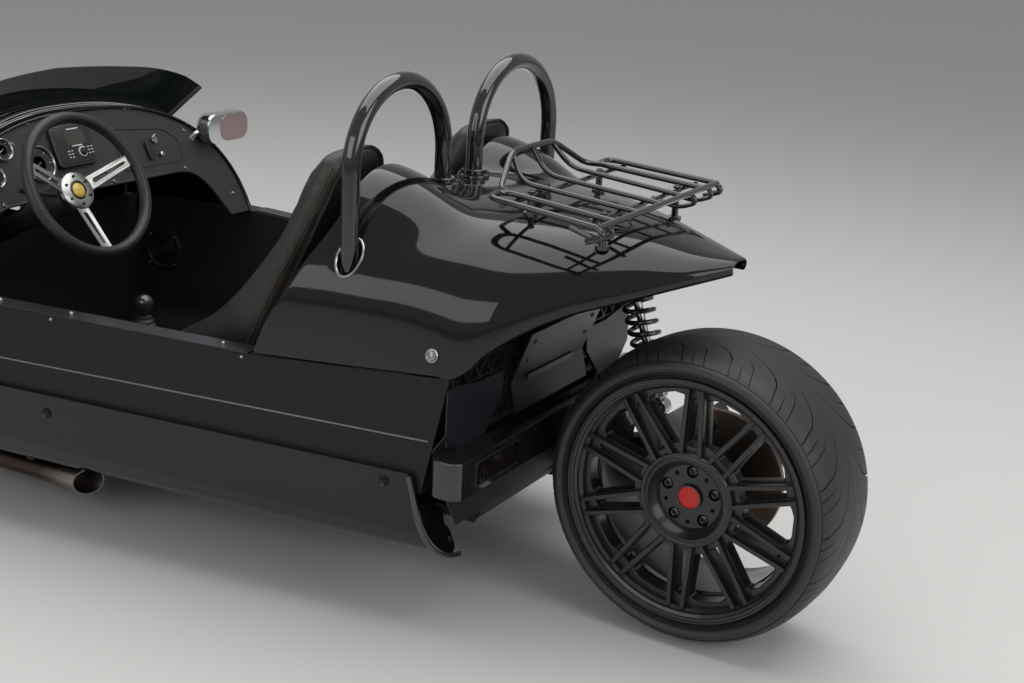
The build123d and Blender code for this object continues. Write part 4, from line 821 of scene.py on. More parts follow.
def plate(shape, place, width, height, thick, corner=0.0, edge=0.0):
    """Flat plate with rounded corners, its back on the plane of a place."""
    sheet = bmesh.new()
    bmesh.ops.create_grid(sheet, x_segments=1, y_segments=1, size=0.5)
    bmesh.ops.scale(sheet, vec=(width, height, 1), verts=sheet.verts)
    if corner:
        rounded(sheet, sheet.verts[:], corner, 6, "VERTICES")
    bmesh.ops.solidify(sheet, geom=sheet.faces[:], thickness=thick)
    bmesh.ops.translate(sheet, vec=(0, 0, -min(v.co.z for v in sheet.verts)), verts=sheet.verts)
    if edge:
        rounded(sheet, [e for e in sheet.edges if min(v.co.z for v in e.verts) > thick * 0.9], edge, 4)
    add_to(shape, sheet, place)


facing_back = Matrix(((0, 0, -1, 0), (-1, 0, 0, 0), (0, 1, 0, 0), (0, 0, 0, 1)))
for side in (1, -1):
    middle = Vector((rear_axle + 1.775, side * 0.478, 0.797))
    for turn, thick, edge in ((0, 0.026, 0.004), (math.pi, 0.03, 0.022)):
        plate(pods, Matrix.Translation(middle) @ facing_back @ Matrix.Rotation(turn, 4, "Y"), 0.168, 0.086,
              thick, corner=0.034, edge=edge)
    plate(mirror_glasses, Matrix.Translation(middle + Vector((-0.0255, side * 0.024, 0))) @ facing_back,
          0.114, 0.075, 0.0015, corner=0.031)
    rod(pods, (middle + Vector((0.01, side * -0.06, -0.006)), middle + Vector((0.022, side * -0.086, -0.012)),
               middle + Vector((0.03, side * -0.1, -0.03))), 0.008, bend=0.015)
piece("mirror_pods", pods, trim_chrome, ["mirrors"])
mirror_glass = coat("mirror_glass", (0.42, 0.33, 0.33), 0.04, metal=1.0, drift=0.03)
piece("mirror_glasses", mirror_glasses, mirror_glass)

# Dashboard: a leaning panel of grey-black vinyl on sheet metal across the
# cockpit, cut away over the knees, with a glove box lid and its lock and key.
lean_up = Vector((DASH_LEAN, 0, 1)).normalized()
dash_out = Vector((-1, 0, DASH_LEAN)).normalized()


def dash_spot(y, z, out=0.0):
    """Point on the dashboard's face at a place across and a height."""
    return Vector((rear_axle + 1.703 + DASH_LEAN * (z - DASH_FOOT), y, z)) + dash_out * out


def on_dash(y, z, out=0.0, turn=0.0):
    """Place on the dashboard, seen from the seats: X right, Y up its face, Z out of it."""
    frame_turn = axes((0, -1, 0), lean_up, dash_out)
    return Matrix.Translation(dash_spot(y, z, out)) @ frame_turn @ Matrix.Rotation(turn, 4, "Z")


dash_grey = coat("dash_grey", (0.021, 0.022, 0.025), 0.5, drift=0.1, bump=0.35, bump_scale=700)
knee_line = ((0.442, 0.5575), (0.402, 0.629), (0.382, 0.655), (0.361, 0.675), (0.335, 0.689), (0.3, 0.696),
             (0.0, 0.698))
rim_line = [rim_spot(n / 40, 0.0035) for n in range(-40, 41)]
low_line = [dash_spot(y, z) for y, z in knee_line] + [dash_spot(-y, z) for y, z in reversed(knee_line[:-1])]
dash = bmesh.new()
dash_face = [Vector((p.x + 0.003, p.y, p.z)) for p in rim_line] + low_line
panel_front = dash.faces.new([dash.verts.new(p) for p in dash_face])
panel_back = bmesh.ops.extrude_face_region(dash, geom=[panel_front], use_keep_orig=True)
bmesh.ops.translate(dash, vec=-dash_out * 0.003, verts=corners_of(panel_back))
bmesh.ops.triangulate(dash, faces=dash.faces[:], quad_method="BEAUTY", ngon_method="EAR_CLIP")
rod(dash, [p - dash_out * 0.003 for p in low_line], 0.0042, sides=10)
piece("dash_panel", dash, dash_grey, ["dashboard"])
lid = bmesh.new()
lid_corners = ((-0.098, 0.827), (-0.276, 0.808), (-0.322, 0.776), (-0.32, 0.722), (-0.098, 0.724))
lid_line = [dash_spot(y, z, 0.0015) for y, z in lid_corners]
lid.faces.new([lid.verts.new(p) for p in lid_line])
rounded(lid, lid.verts[:], 0.012, 5, "VERTICES")
bmesh.ops.inset_region(lid, faces=lid.faces[:], thickness=0.0022, depth=0.0014, use_even_offset=True)
lid_skirt = bmesh.ops.extrude_edge_only(lid, edges=[e for e in lid.edges if len(e.link_faces) == 1])
for spot in corners_of(lid_skirt):
    spot.co -= dash_out * 0.004
piece("glove_lid", lid, dash_grey)
lid_gap, dash_screws = bmesh.new(), bmesh.new()
middle_lid = sum(lid_line, Vector()) / 5
rod(lid_gap, [p + (p - middle_lid).normalized() * 0.002 - dash_out * 0.001 for p in lid_line], 0.0016,
    sides=8, bend=0.012, closed=True)
piece("lid_seal", lid_gap, seal_rubber)
turned(dash_screws, ((0.0, 0.004), (0.0035, 0.004), (0.004, 0.006), (0.0085, 0.006), (0.0105, 0.0045),
                     (0.011, 0.0), (0.0, 0.0)), steps=32, place=on_dash(-0.236, 0.785, 0.0005) @ upright)
turned(dash_screws, ((0.0, 0.012), (0.004, 0.0118), (0.0065, 0.01), (0.0072, 0.0075), (0.005, 0.005),
                     (0.0045, 0.0), (0.0, 0.0)), steps=32, place=on_dash(-0.242, 0.746, 0.001) @ upright)
for y, z in ((0.168, 0.873), (-0.168, 0.873), (0.232, 0.832), (-0.05, 0.703), (-0.36, 0.794), (0.36, 0.794),
             (-0.318, 0.7), (0.318, 0.7), (-0.47, 0.61), (0.47, 0.61)):
    dished_bolt(dash_screws, dash_spot(y, z, -0.001), dash_out, 0.0052)
piece("dash_screws", dash_screws, bolt_bright)
key = bmesh.new()
plate(key, on_dash(-0.23, 0.79, 0.006, 0.5) @ Matrix.Rotation(1.1, 4, "X"), 0.021, 0.026, 0.0022,
      corner=0.008, edge=0.0006)
piece("ignition_key", key, coat("key_brass", (0.55, 0.32, 0.12), 0.28, metal=1.0))
fob = bmesh.new()
plate(fob, on_dash(-0.205, 0.76, 0.004, 0.06), 0.02, 0.052, 0.004, corner=0.006, edge=0.0012)
rod(fob, (dash_spot(-0.229, 0.79, 0.01), dash_spot(-0.214, 0.792, 0.012), dash_spot(-0.206, 0.784, 0.007)),
    0.001, sides=6)
piece("key_fob", fob, coat("fob_leather", (0.01, 0.008, 0.007), 0.5, bump=0.4))

# Gauges and radio: a large gauge behind the steering wheel and two small ones
# to its left, in bright bezels, and a weatherproof radio unit.
bezel_silver = coat("bezel_silver", (0.5, 0.49, 0.45), 0.22, metal=1.0)
dial_black = coat("dial_black", (0.008, 0.008, 0.009), 0.35, clear=0.4)
mark_cream = coat("mark_cream", (0.62, 0.56, 0.42), 0.5)
gauge_rings, gauge_dials, gauge_marks = (bmesh.new() for _ in range(3))
for y, z, radius, ticks in ((0.176, 0.776, 0.047, 25), (0.272, 0.822, 0.029, 13), (0.322, 0.764, 0.029, 13)):
    here = on_dash(y, z) @ upright
    turned(gauge_rings, ((radius - 0.0055, 0.004), (radius - 0.005, 0.01), (radius - 0.003, 0.0122),
                         (radius - 0.0008, 0.0115), (radius, 0.009), (radius, 0.0), (radius - 0.0055, 0.0)),
           steps=64, place=here)
    turned(gauge_dials, ((0.0, 0.0046), (radius * 0.88, 0.0046), (radius * 0.89, 0.0), (0.0, 0.0)), steps=48,
           place=here)
    for n in range(ticks):
        turn = math.radians(135 - 270 * n / (ticks - 1))
        tick = 0.16 if n % 4 == 0 else 0.07
        mark_at = on_dash(y, z, 0.0044, turn) @ Matrix.Translation((0, radius * (0.84 - tick / 2), 0))
        plate(gauge_marks, mark_at, 0.0005 if n % 4 else 0.0015, radius * tick, 0.0005)
    needle_at = on_dash(y, z, 0.006, math.radians(118)) @ Matrix.Translation((0, radius * 0.26, 0))
    plate(gauge_marks, needle_at, 0.0016, radius * 0.8, 0.0006)
    turned(gauge_dials, ((0.0, 0.0078), (radius * 0.08, 0.0074), (radius * 0.1, 0.0046), (0.0, 0.0046)),
           steps=24, place=here)
piece("gauge_bezels", gauge_rings, bezel_silver, ["dash_fittings"])
piece("gauge_dials", gauge_dials, dial_black)
piece("gauge_marks", gauge_marks, mark_cream)
radio, radio_keys, radio_screen = bmesh.new(), bmesh.new(), bmesh.new()
plate(radio, on_dash(0.055, 0.804), 0.128, 0.11, 0.014, corner=0.012, edge=0.004)
plate(radio, on_dash(0.055, 0.804, 0.013), 0.106, 0.092, 0.003, corner=0.008, edge=0.001)
plate(radio_screen, on_dash(0.047, 0.822, 0.0162), 0.066, 0.036, 0.0008, corner=0.003)
plate(radio_keys, on_dash(0.047, 0.8425, 0.016), 0.04, 0.0032, 0.0012, corner=0.0012)
plate(radio_keys, on_dash(0.047, 0.802, 0.016), 0.034, 0.0032, 0.0012, corner=0.0012)
for column in range(2):
    for row in range(3):
        for y, z in ((0.081, 0.791), (0.013, 0.795)):
            plate(radio_keys, on_dash(y - 0.011 * column, z - 0.0075 * row, 0.016), 0.0065, 0.0026, 0.0012,
                  corner=0.001)
dial_at = on_dash(0.035, 0.7855, 0.016) @ upright
turned(radio_keys, ((0.0105, 0.0), (0.0105, 0.003), (0.0118, 0.004), (0.0135, 0.0032), (0.0138, 0.0)),
       steps=40, place=dial_at)
turned(radio, ((0.0, 0.0115), (0.0075, 0.011), (0.0092, 0.009), (0.01, 0.0), (0.0, 0.0)), steps=40,
       place=dial_at)
piece("radio_unit", radio, dial_black)
piece("radio_keys", radio_keys, coat("key_white", (0.55, 0.56, 0.56), 0.4))
piece("radio_screen", radio_screen, coat("screen_glass", (0.03, 0.034, 0.024), 0.12, clear=1.0))

# Steering wheel: leather rim on three slotted brushed spokes that dish to a
# bright boss with six bolts and a plain yellow button.
hub_middle = Vector((rear_axle + 1.55, 0.25, 0.775))
wheel_rake = math.radians(28.2)
RIM_LINE, RIM_TUBE, WHEEL_DISH = 0.17, 0.014, 0.048
rake_cos, rake_sin = math.cos(wheel_rake), math.sin(wheel_rake)
wheel_turn = axes((0, 1, 0), (-rake_cos, 0, rake_sin), (rake_sin, 0, rake_cos))
wheel_frame = Matrix.Translation(hub_middle) @ wheel_turn
wheel_leather = coat("wheel_leather", (0.013, 0.0125, 0.012), 0.36, drift=0.2, grain=60, bump=0.45,
                     bump_scale=650)
grip = bmesh.new()
tube_line = [(RIM_LINE + RIM_TUBE * math.cos(turn), RIM_TUBE * 1.08 * math.sin(turn))
             for turn in around(20)]
turned(grip, tube_line, steps=120, place=wheel_frame)
piece("wheel_grip", grip, wheel_leather, ["steering_wheel"], "hand_wheel")
stitches = bmesh.new()
for n, turn in enumerate(around(150)):
    at = Matrix.Translation((0, 0.0035 * (n % 2) - 0.00175, RIM_LINE - RIM_TUBE - 0.0002))
    plate(stitches, Matrix.Rotation(turn, 4, "Y") @ at @ Matrix.Rotation(0.5 - n % 2, 4, "Z"), 0.0052, 0.001,
          0.0009)
piece("wheel_stitches", moved(stitches, wheel_frame), coat("thread_grey", (0.1, 0.1, 0.1), 0.7),
      body="hand_wheel")
spokes = bmesh.new()
arm_line = ((0.03, -0.0175), (0.03, 0.0175), (0.1625, 0.0145), (0.1625, -0.0145))
slot_line = ((0.055, -0.0068), (0.055, 0.0068), (0.149, 0.0042), (0.149, -0.0042))
for turn in (75, -65, -174):
    outlines = [window(math.radians(turn), arm_line, (0, 0, 0.002, 0.002)),
                window(math.radians(turn), slot_line, (0.006, 0.006, 0.004, 0.004))]
    arm = bmesh.new()
    pierced(arm, ((0.0018, -0.0006), (0.0012, 0.0), (-0.0012, 0.0), (-0.0018, -0.0006)), outlines)
    for spot in arm.verts:
        spot.co.y -= WHEEL_DISH * (1 - clamped((math.hypot(spot.co.x, spot.co.z) - 0.035) / 0.125))
    add_to(spokes, arm)
turned(spokes, ((0.0225, -0.0415), (0.0225, -0.038), (0.024, -0.037), (0.043, -0.0385), (0.0462, -0.0405),
                (0.0468, -0.05), (0.044, -0.052), (0.029, -0.053), (0.029, -0.066), (0.0225, -0.066)),
       steps=64)
spoke_brushed = coat("spoke_brushed", (0.46, 0.47, 0.44), 0.26, metal=1.0, drift=0.1, grain=90)
piece("wheel_spokes", moved(spokes, wheel_frame), spoke_brushed, body="hand_wheel")
boss_bolts = bmesh.new()
for turn in around(6, 0.5):
    turned(boss_bolts, ((0.0, -0.0365), (0.0012, -0.0365), (0.0015, -0.035), (0.0034, -0.0352),
                        (0.0036, -0.038), (0.0, -0.038)), steps=16,
           place=Matrix.Translation((0.035 * math.cos(turn), 0, 0.035 * math.sin(turn))))
turned(boss_bolts, ((0.0185, -0.041), (0.0185, -0.0365), (0.0205, -0.035), (0.0228, -0.036),
                    (0.023, -0.041)), steps=48)
piece("boss_bolts", moved(boss_bolts, wheel_frame), bolt_black, body="hand_wheel")
button = bmesh.new()
turned(button, ((0.0, -0.032), (0.008, -0.0324), (0.014, -0.0338), (0.0178, -0.0365), (0.0184, -0.041),
                (0.0, -0.041)), steps=48, place=wheel_frame)
piece("horn_button", button, coat("button_yellow", (0.62, 0.44, 0.06), 0.25, clear=0.5, drift=0.04),
      body="hand_wheel")

# Steering column: painted tube under the dashboard, with a moulded shroud and
# a slim stalk on each side for the signals and the lamps.
column = bmesh.new()
turned(column, ((0.0, -0.045), (0.011, -0.045), (0.011, -0.07), (0.0265, -0.073), (0.027, -0.076),
                (0.027, -0.465), (0.026, -0.468), (0.011, -0.468), (0.011, -0.49), (0.0, -0.49)), steps=40,
       place=wheel_frame)
piece("column_tube", column, arm_black, ["steering_column"])
shroud = bmesh.new()
turned(shroud, ((0.03, -0.07), (0.037, -0.074), (0.04, -0.084), (0.041, -0.12), (0.037, -0.156),
                (0.033, -0.162), (0.0275, -0.162), (0.0275, -0.07)), steps=40)
for side in (1, -1):
    rod(shroud, ((side * 0.034, -0.08, 0.006), (side * 0.095, -0.07, 0.018), (side * 0.152, -0.058, 0.034)),
        0.0052, bend=0.03)
    rod(shroud, ((side * 0.128, -0.0635, 0.0272), (side * 0.156, -0.0575, 0.035)), 0.008, sides=14)
shroud_black = coat("shroud_black", (0.016, 0.016, 0.017), 0.42, bump=0.2)
piece("column_shroud", moved(shroud, wheel_frame), shroud_black)

# Gear lever: a dark polished ball on its rod over a pleated leather boot on the
# tunnel. The pedals in front of the driver are brushed aluminium.
boot = bmesh.new()
boot_line = [(0.052, 0.0), (0.052, 0.003), (0.047, 0.005)]
for n in range(12):
    boot_line.append((0.045 - 0.0026 * n + 0.003 * (n % 2), 0.008 + 0.0056 * n))
lever_at = Matrix.Translation((rear_axle + 1.624, 0, 0.3005)) @ upright
turned(boot, boot_line + [(0.0095, 0.074), (0.0, 0.074), (0.0, 0.0)], steps=48, place=lever_at)
boot_leather = coat("boot_leather", (0.04, 0.031, 0.024), 0.5, bump=0.5, bump_scale=400)
piece("gear_boot", boot, boot_leather, ["gear_lever"])
lever = bmesh.new()
turned(lever, ((0.0, 0.06), (0.007, 0.06), (0.0065, 0.076), (0.0105, 0.08), (0.011, 0.086), (0.0, 0.086)),
       steps=24, place=lever_at)
ball_line = [(0.0245 * math.sin(turn), 0.107 - 0.024 * math.cos(turn))
             for turn in (math.radians(a) for a in range(0, 181, 10))]
turned(lever, ball_line, steps=40, place=lever_at)
piece("gear_ball", lever, coat("ball_polish", (0.05, 0.046, 0.042), 0.16, metal=0.4, clear=0.8))
dress(plate_metal, "pedals")

# Speakers: one low on each side wall of the footwell, a black ring and mesh
# dome held by four bright screws.
speakers, speaker_screws = bmesh.new(), bmesh.new()
wire_line = ((-0.0018, 0), (0, 0.0012), (0.0018, 0), (0, -0.002))
for side in (1, -1):
    facing = aimed(side_spot(2.03, -0.0565, 0.384, side), (-0.16, -side, 0.06))
    turned(speakers, ((0.048, 0.0), (0.048, 0.005), (0.05, 0.008), (0.056, 0.008), (0.066, 0.004),
                      (0.068, 0.0)), steps=56, place=facing)
    for n in range(5):
        wire = Vector((0.0118 + 0.009 * n, 0.006 - 0.0006 * n))
        turned(speakers, [wire + Vector(off) for off in wire_line], steps=40, place=facing)
    turned(speakers, ((0.0, 0.0078), (0.007, 0.007), (0.01, 0.0035), (0.049, 0.001), (0.0, 0.001)), steps=40,
           place=facing)
    for turn in around(4, 0.5):
        screw_at = facing @ Vector((0.0605 * math.cos(turn), 0.0055, 0.0605 * math.sin(turn)))
        dished_bolt(speaker_screws, screw_at, (-0.16, -side, 0.06), 0.0048)
piece("speaker_rings", speakers, grille_black)
piece("speaker_screws", speaker_screws, bolt_bright)

# Seats: two high-backed buckets in dark brown-black leather over foam, with
# raised side bolsters, twin-stitched piping round the back and sewn channels.

# along the seat from its top: front x and z, back x and z, half width, bolster height
seat_rows = (
    (0.0, 0.778, 0.982, 0.75, 0.978, 0.052, 0.0), (0.04, 0.804, 0.97, 0.744, 0.955, 0.088, 0.004),
    (0.12, 0.828, 0.918, 0.756, 0.905, 0.112, 0.008), (0.22, 0.853, 0.85, 0.776, 0.838, 0.13, 0.014),
    (0.33, 0.888, 0.774, 0.802, 0.758, 0.147, 0.02), (0.44, 0.938, 0.704, 0.834, 0.676, 0.16, 0.026),
    (0.54, 0.996, 0.642, 0.866, 0.588, 0.168, 0.03), (0.64, 1.066, 0.59, 0.896, 0.478, 0.17, 0.032),
    (0.73, 1.14, 0.545, 0.918, 0.352, 0.17, 0.032), (0.81, 1.215, 0.502, 0.966, 0.226, 0.162, 0.03),
    (0.89, 1.272, 0.462, 1.13, 0.18, 0.148, 0.02), (0.96, 1.302, 0.43, 1.262, 0.19, 0.134, 0.01),
    (1.0, 1.312, 0.4, 1.302, 0.26, 0.12, 0.0))
SEAT_Y, SEAT_BACK, SEAT_ROUND = 0.246, 0.018, 56


def seat_spot(along, turn):
    """Point of the seat's skin: along it from the top, and round it from the left edge over the front."""
    front_x, front_z, back_x, back_z, half, bolster = eased(seat_rows, along)
    front, back = Vector((front_x, 0, front_z)), Vector((back_x, 0, back_z))
    middle, deep = (front + back) / 2, (front - back) / 2
    across = math.copysign(abs(math.cos(turn)) ** 0.72, math.cos(turn))
    lift = math.copysign(abs(math.sin(turn)) ** 0.72, math.sin(turn))
    place = middle + deep * lift + Vector((0, half * across, 0))
    if lift > 0:
        place += deep.normalized() * bolster * (abs(across) ** 3.5 - 0.55) * lift
    return Vector((rear_axle + place.x, place.y, place.z))


def finer(made):
    """Divide a skin once more, smoothly."""
    divided = made.modifiers.new("finer", "SUBSURF")
    divided.levels = divided.render_levels = 1


def puffed(pad, held_to=0.009, voxel=0.007):
    """Cloth skin pushed out from inside by the foam, each point held near its start."""
    knit = pad.modifiers.new("knit", "REMESH")
    knit.mode, knit.voxel_size = "VOXEL", voxel
    finished = bpy.data.meshes.new_from_object(pad.evaluated_get(bpy.context.evaluated_depsgraph_get()))
    pad.modifiers.clear()
    finished.materials.clear()
    finished.materials.append(pad.data.materials[0])
    pad.data = finished
    start = [v.co.copy() for v in finished.vertices]
    cloth = pad.modifiers.new("foam", "CLOTH")
    cloth.settings.quality = 4
    cloth.settings.use_pressure = True
    cloth.settings.uniform_pressure_force = 4
    cloth.settings.effector_weights.gravity = 0
    for step in range(1, 21):
        bpy.context.scene.frame_set(step)
    swollen = pad.evaluated_get(bpy.context.evaluated_depsgraph_get()).to_mesh()
    pushed = [v.co.copy() for v in swollen.vertices]
    pad.evaluated_get(bpy.context.evaluated_depsgraph_get()).to_mesh_clear()
    pad.modifiers.clear()
    bpy.context.scene.frame_set(1)
    for spot, before, after in zip(finished.vertices, start, pushed):
        step = after - before
        spot.co = before + step * min(1.0, held_to / max(step.length, 1e-9))
    for face in finished.polygons:
        face.use_smooth = True


seat_leather = coat("seat_leather", (0.024, 0.02, 0.017), 0.38, drift=0.22, grain=22, bump=0.55,
                    bump_scale=420)
back_leather = coat("back_leather", (0.0075, 0.007, 0.0065), 0.42, drift=0.2, bump=0.4, bump_scale=420)
foam = bmesh.new()
loops = []
for n in range(49):
    ring = [foam.verts.new(seat_spot(n / 48, turn)) for turn in around(SEAT_ROUND)]
    loops.append([foam.edges.new(pair) for pair in zip(ring, ring[1:] + ring[:1])])
for low, high in zip(loops, loops[1:]):
    bmesh.ops.bridge_loops(foam, edges=low + high)
for end in (loops[0], loops[-1]):
    bmesh.ops.contextual_create(foam, geom=end)
bmesh.ops.translate(foam, verts=foam.verts, vec=(0, SEAT_Y, 0))
seat_left = piece("seat_left", foam, seat_leather, ["seats"])
puffed(seat_left)
seat_skin = seat_left.data
skin_tree = BVHTree.FromPolygons([v.co for v in seat_skin.vertices],
                                 [tuple(f.vertices) for f in seat_skin.polygons])
across_car = Matrix.Translation((-SEAT_BACK, 0, 0)) @ Matrix.Diagonal((1, -1, 1, 1))
mirrored = bmesh.new()
mirrored.from_mesh(seat_left.data)
seat_right = piece("seat_right", moved(mirrored, across_car), seat_leather)
for seat in (seat_left, seat_right):
    finer(seat)


def on_leather(place, lift=0.0):
    """Nearest point of the left seat's leather, lifted off it by a distance."""
    near, out = skin_tree.find_nearest(Vector(place) + Vector((0, SEAT_Y, 0)))[:2]
    return near + out * lift, out


piping, threads = bmesh.new(), bmesh.new()
rows_down = [0.005 + 0.86 * n / 150 for n in range(151)]


def pipe_turn(a):
    """Where the piping lies round a row of the seat: further back at the top than at the bottom."""
    return math.radians(20 * a - 54)


right_edge = [seat_spot(a, math.pi - pipe_turn(a)) for a in reversed(rows_down)]
left_edge = [seat_spot(a, pipe_turn(a)) for a in rows_down]
pipe_route = [on_leather(p, 0.0012)[0] for p in right_edge + left_edge]
rod(piping, pipe_route, 0.0042, sides=8)
seam_line = sorted((p.z, p.x) for p in pipe_route[len(pipe_route) // 2:])
seam_heights = [z for z, x in seam_line]
for seat, back in ((seat_left, 0.0), (seat_right, SEAT_BACK)):
    seat.data.materials.append(back_leather)
    for face in seat.data.polygons:
        z, x = seam_line[min(bisect.bisect(seam_heights, face.center.z), len(seam_line) - 1)]
        face.material_index = int(face.center.x + back < x)
for inset in (14, 22):
    for flip in (False, True):
        spots = []
        for along in range(8, 352):
            turn = pipe_turn(along / 400) + math.radians(inset)
            spots.append(on_leather(seat_spot(along / 400, math.pi - turn if flip else turn), 0.0004))
        walked, last = 0.0, 0
        for k in range(1, len(spots)):
            walked += (spots[k][0] - spots[k - 1][0]).length
            if walked > 0.0078:
                (a, up), b = spots[last], spots[k][0]
                along = (b - a).normalized()
                across = up.cross(along).normalized()
                at = axes(across, along, across.cross(along))
                plate(threads, Matrix.Translation((a + b) / 2) @ at, 0.0013, 0.0052, 0.001)
                walked, last = 0.0, k
for across_turn in (62, 118):
    rod(piping, [on_leather(seat_spot(0.05 + 0.9 * n / 90, math.radians(across_turn)), -0.0008)[0]
                 for n in range(91)], 0.0016, sides=6)
for made in (piping, threads):
    add_to(made, made.copy(), across_car)
piece("seat_piping", piping, coat("piping_leather", (0.012, 0.011, 0.01), 0.3, bump=0.3))
piece("seat_stitches", threads, coat("thread_tan", (0.12, 0.095, 0.065), 0.7))

# Tail shell: one glass-fibre moulding in deep gloss black behind the seats,
# with two headrest humps that run back into a pointed tail. Its edges are
# rolled in, and a dished bolt on each side holds it down.

# ahead of the rear axle: half width at the foot, foot height, crown height, fullness
shell_stations = (
    (0.9, 0.474, 0.5525, 0.876, 3.8), (0.66, 0.44, 0.5655, 0.884, 3.8), (0.5, 0.416, 0.5755, 0.885, 3.3),
    (0.43, 0.406, 0.5805, 0.884, 2.9), (0.395, 0.4, 0.59, 0.884, 2.6), (0.33, 0.374, 0.662, 0.882, 2.1),
    (0.24, 0.288, 0.722, 0.873, 1.9), (0.14, 0.194, 0.757, 0.858, 1.8), (0.05, 0.118, 0.788, 0.838, 1.7),
    (-0.026, 0.036, 0.812, 0.826, 1.6))
SHELL_ROWS, SHELL_HALF, SHELL_BACK = 64, 44, -0.026
hump_line = Vector((0.231, 0.79))
hump_arc = (0.7587, -0.2685, 0.4322)


def shell_point(ahead, turn_share):
    """Point of the shell's section there: share 0 is the foot, 1 the top of the middle."""
    foot_y, foot_z, crown_z, full = eased(shell_stations, ahead)
    start = Vector((min(0.2, foot_y * 0.5), foot_z + (crown_z - foot_z) * min(0.45, 0.15 + ahead * 0.6)))
    low = math.atan2(foot_z - start.y, foot_y - start.x)
    high = math.atan2(crown_z - start.y, -start.x)
    turn = low + (high - low) * turn_share
    aim = Vector((math.cos(turn), math.sin(turn)))
    near, far = 0.0, 0.8
    for _ in range(26):
        middle = (near + far) / 2
        spot = start + aim * middle
        up = max(0.0, (spot.y - foot_z) / (crown_z - foot_z))
        swell = 0.04 * math.sin(math.pi * min(1.0, up)) - 0.045 * min(1.0, up) ** 2
        lean = 1 + swell * clamped((ahead - 0.3) / 0.3)
        square = 2.6 + clamped((ahead - 0.33) / 0.2)
        inside = (abs(spot.x) / (foot_y * lean)) ** square + up ** full < 1
        near, far = (middle, far) if inside else (near, middle)
    reach = near
    rise = hump_arc[1] + math.sqrt(max(0.0, hump_arc[2] ** 2 - (ahead - hump_arc[0]) ** 2))
    if rise > 0:
        off = hump_line - start
        along = off.dot(aim)
        left = rise ** 2 - (off.length_squared - along ** 2)
        if left > 0:
            hump = along + math.sqrt(left)
            if hump > 0:
                reach = (reach ** 11 + hump ** 11) ** (1 / 11)
    spot = start + aim * reach
    return spot.x, spot.y


def on_shell(ahead, axis, value, shares):
    """Point of the shell's section nearest to a place across, axis 0, or to a height, axis 1."""
    return min((shell_point(ahead, n / 400) for n in shares), key=lambda spot: abs(spot[axis] - value))


# height, how far ahead the front edge is
shell_edge = ((0.5525, 0.86), (0.637, 0.818), (0.71, 0.774), (0.764, 0.75), (0.82, 0.722), (0.865, 0.703),
              (0.975, 0.694))


def shell_front(z):
    """How far ahead the shell's front edge is at a height."""
    return eased(shell_edge, z)[0]


tail = bmesh.new()
bmesh.ops.create_grid(tail, x_segments=SHELL_ROWS, y_segments=2 * SHELL_HALF, size=1)
for spot in tail.verts:
    back = (spot.co.x + 1) / 2
    across = spot.co.y
    share = 1 - abs(across)
    ahead = 0.8
    for _ in range(5):
        ahead = shell_front(shell_point(ahead, share)[1])
    ahead += (SHELL_BACK - ahead) * back
    y, z = shell_point(ahead, share)
    spot.co = (rear_axle + ahead, math.copysign(y, across) if abs(across) > 1e-6 else 0, z)
edges_low = [e for e in tail.edges if len(e.link_faces) == 1
             and all(v.co.x - rear_axle < 0.66 for v in e.verts)
             and abs(e.verts[0].co.x - e.verts[1].co.x) > 1e-5]
for drop, pull in ((0.01, 0.002), (0.006, 0.01)):
    rolled = bmesh.ops.extrude_edge_only(tail, edges=edges_low)
    edges_low = [e for e in rolled["geom"] if isinstance(e, bmesh.types.BMEdge)
                 and all(v in rolled["geom"] for v in e.verts)]
    for spot in corners_of(rolled):
        fade = clamped((0.43 - (spot.co.x - rear_axle)) / 0.06)
        spot.co.z -= drop * fade
        spot.co.y -= math.copysign(pull, spot.co.y) * fade
HOOP_AT = 0.66
slot_middle, slot_long, slot_high = Vector((rear_axle + 0.651, 0.79)), 0.027, 0.036


def slot_edge(turn, side):
    """Point of the slot's oval edge, on the shell."""
    x, z = slot_middle.x + slot_long * math.cos(turn), slot_middle.y + slot_high * math.sin(turn)
    return Vector((x, side * on_shell(x - rear_axle, 1, z, range(290))[0], z))


for side in (1, -1):
    inside = [f for f in tail.faces if f.calc_center_median().y * side > 0.36
              and ((f.calc_center_median().x - slot_middle.x) / slot_long) ** 2
              + ((f.calc_center_median().z - slot_middle.y) / slot_high) ** 2 < 1]
    ring = {v for f in inside for v in f.verts if any(g not in inside for g in v.link_faces)}
    bmesh.ops.delete(tail, geom=inside, context="FACES")
    for spot in ring:
        off = Vector((spot.co.x, spot.co.z)) - slot_middle
        spot.co = slot_edge(math.atan2(off.y / slot_high, off.x / slot_long), side)
deep_gloss = coat("deep_gloss", (0.004, 0.004, 0.005), 0.09, clear=0.5, drift=0.25, grain=3.0, shine=0.25)
shell = piece("tail_moulding", tail, deep_gloss, ["tail_shell"])
walled(shell)
finer(shell)
fixings = bmesh.new()
for side in (1, -1):
    y, z = on_shell(0.442, 1, 0.626, range(200))
    dished_bolt(fixings, (rear_axle + 0.442, side * (y + 0.001), z), (-0.1, side, 0.25))
piece("tail_bolts", fixings, bolt_bright)

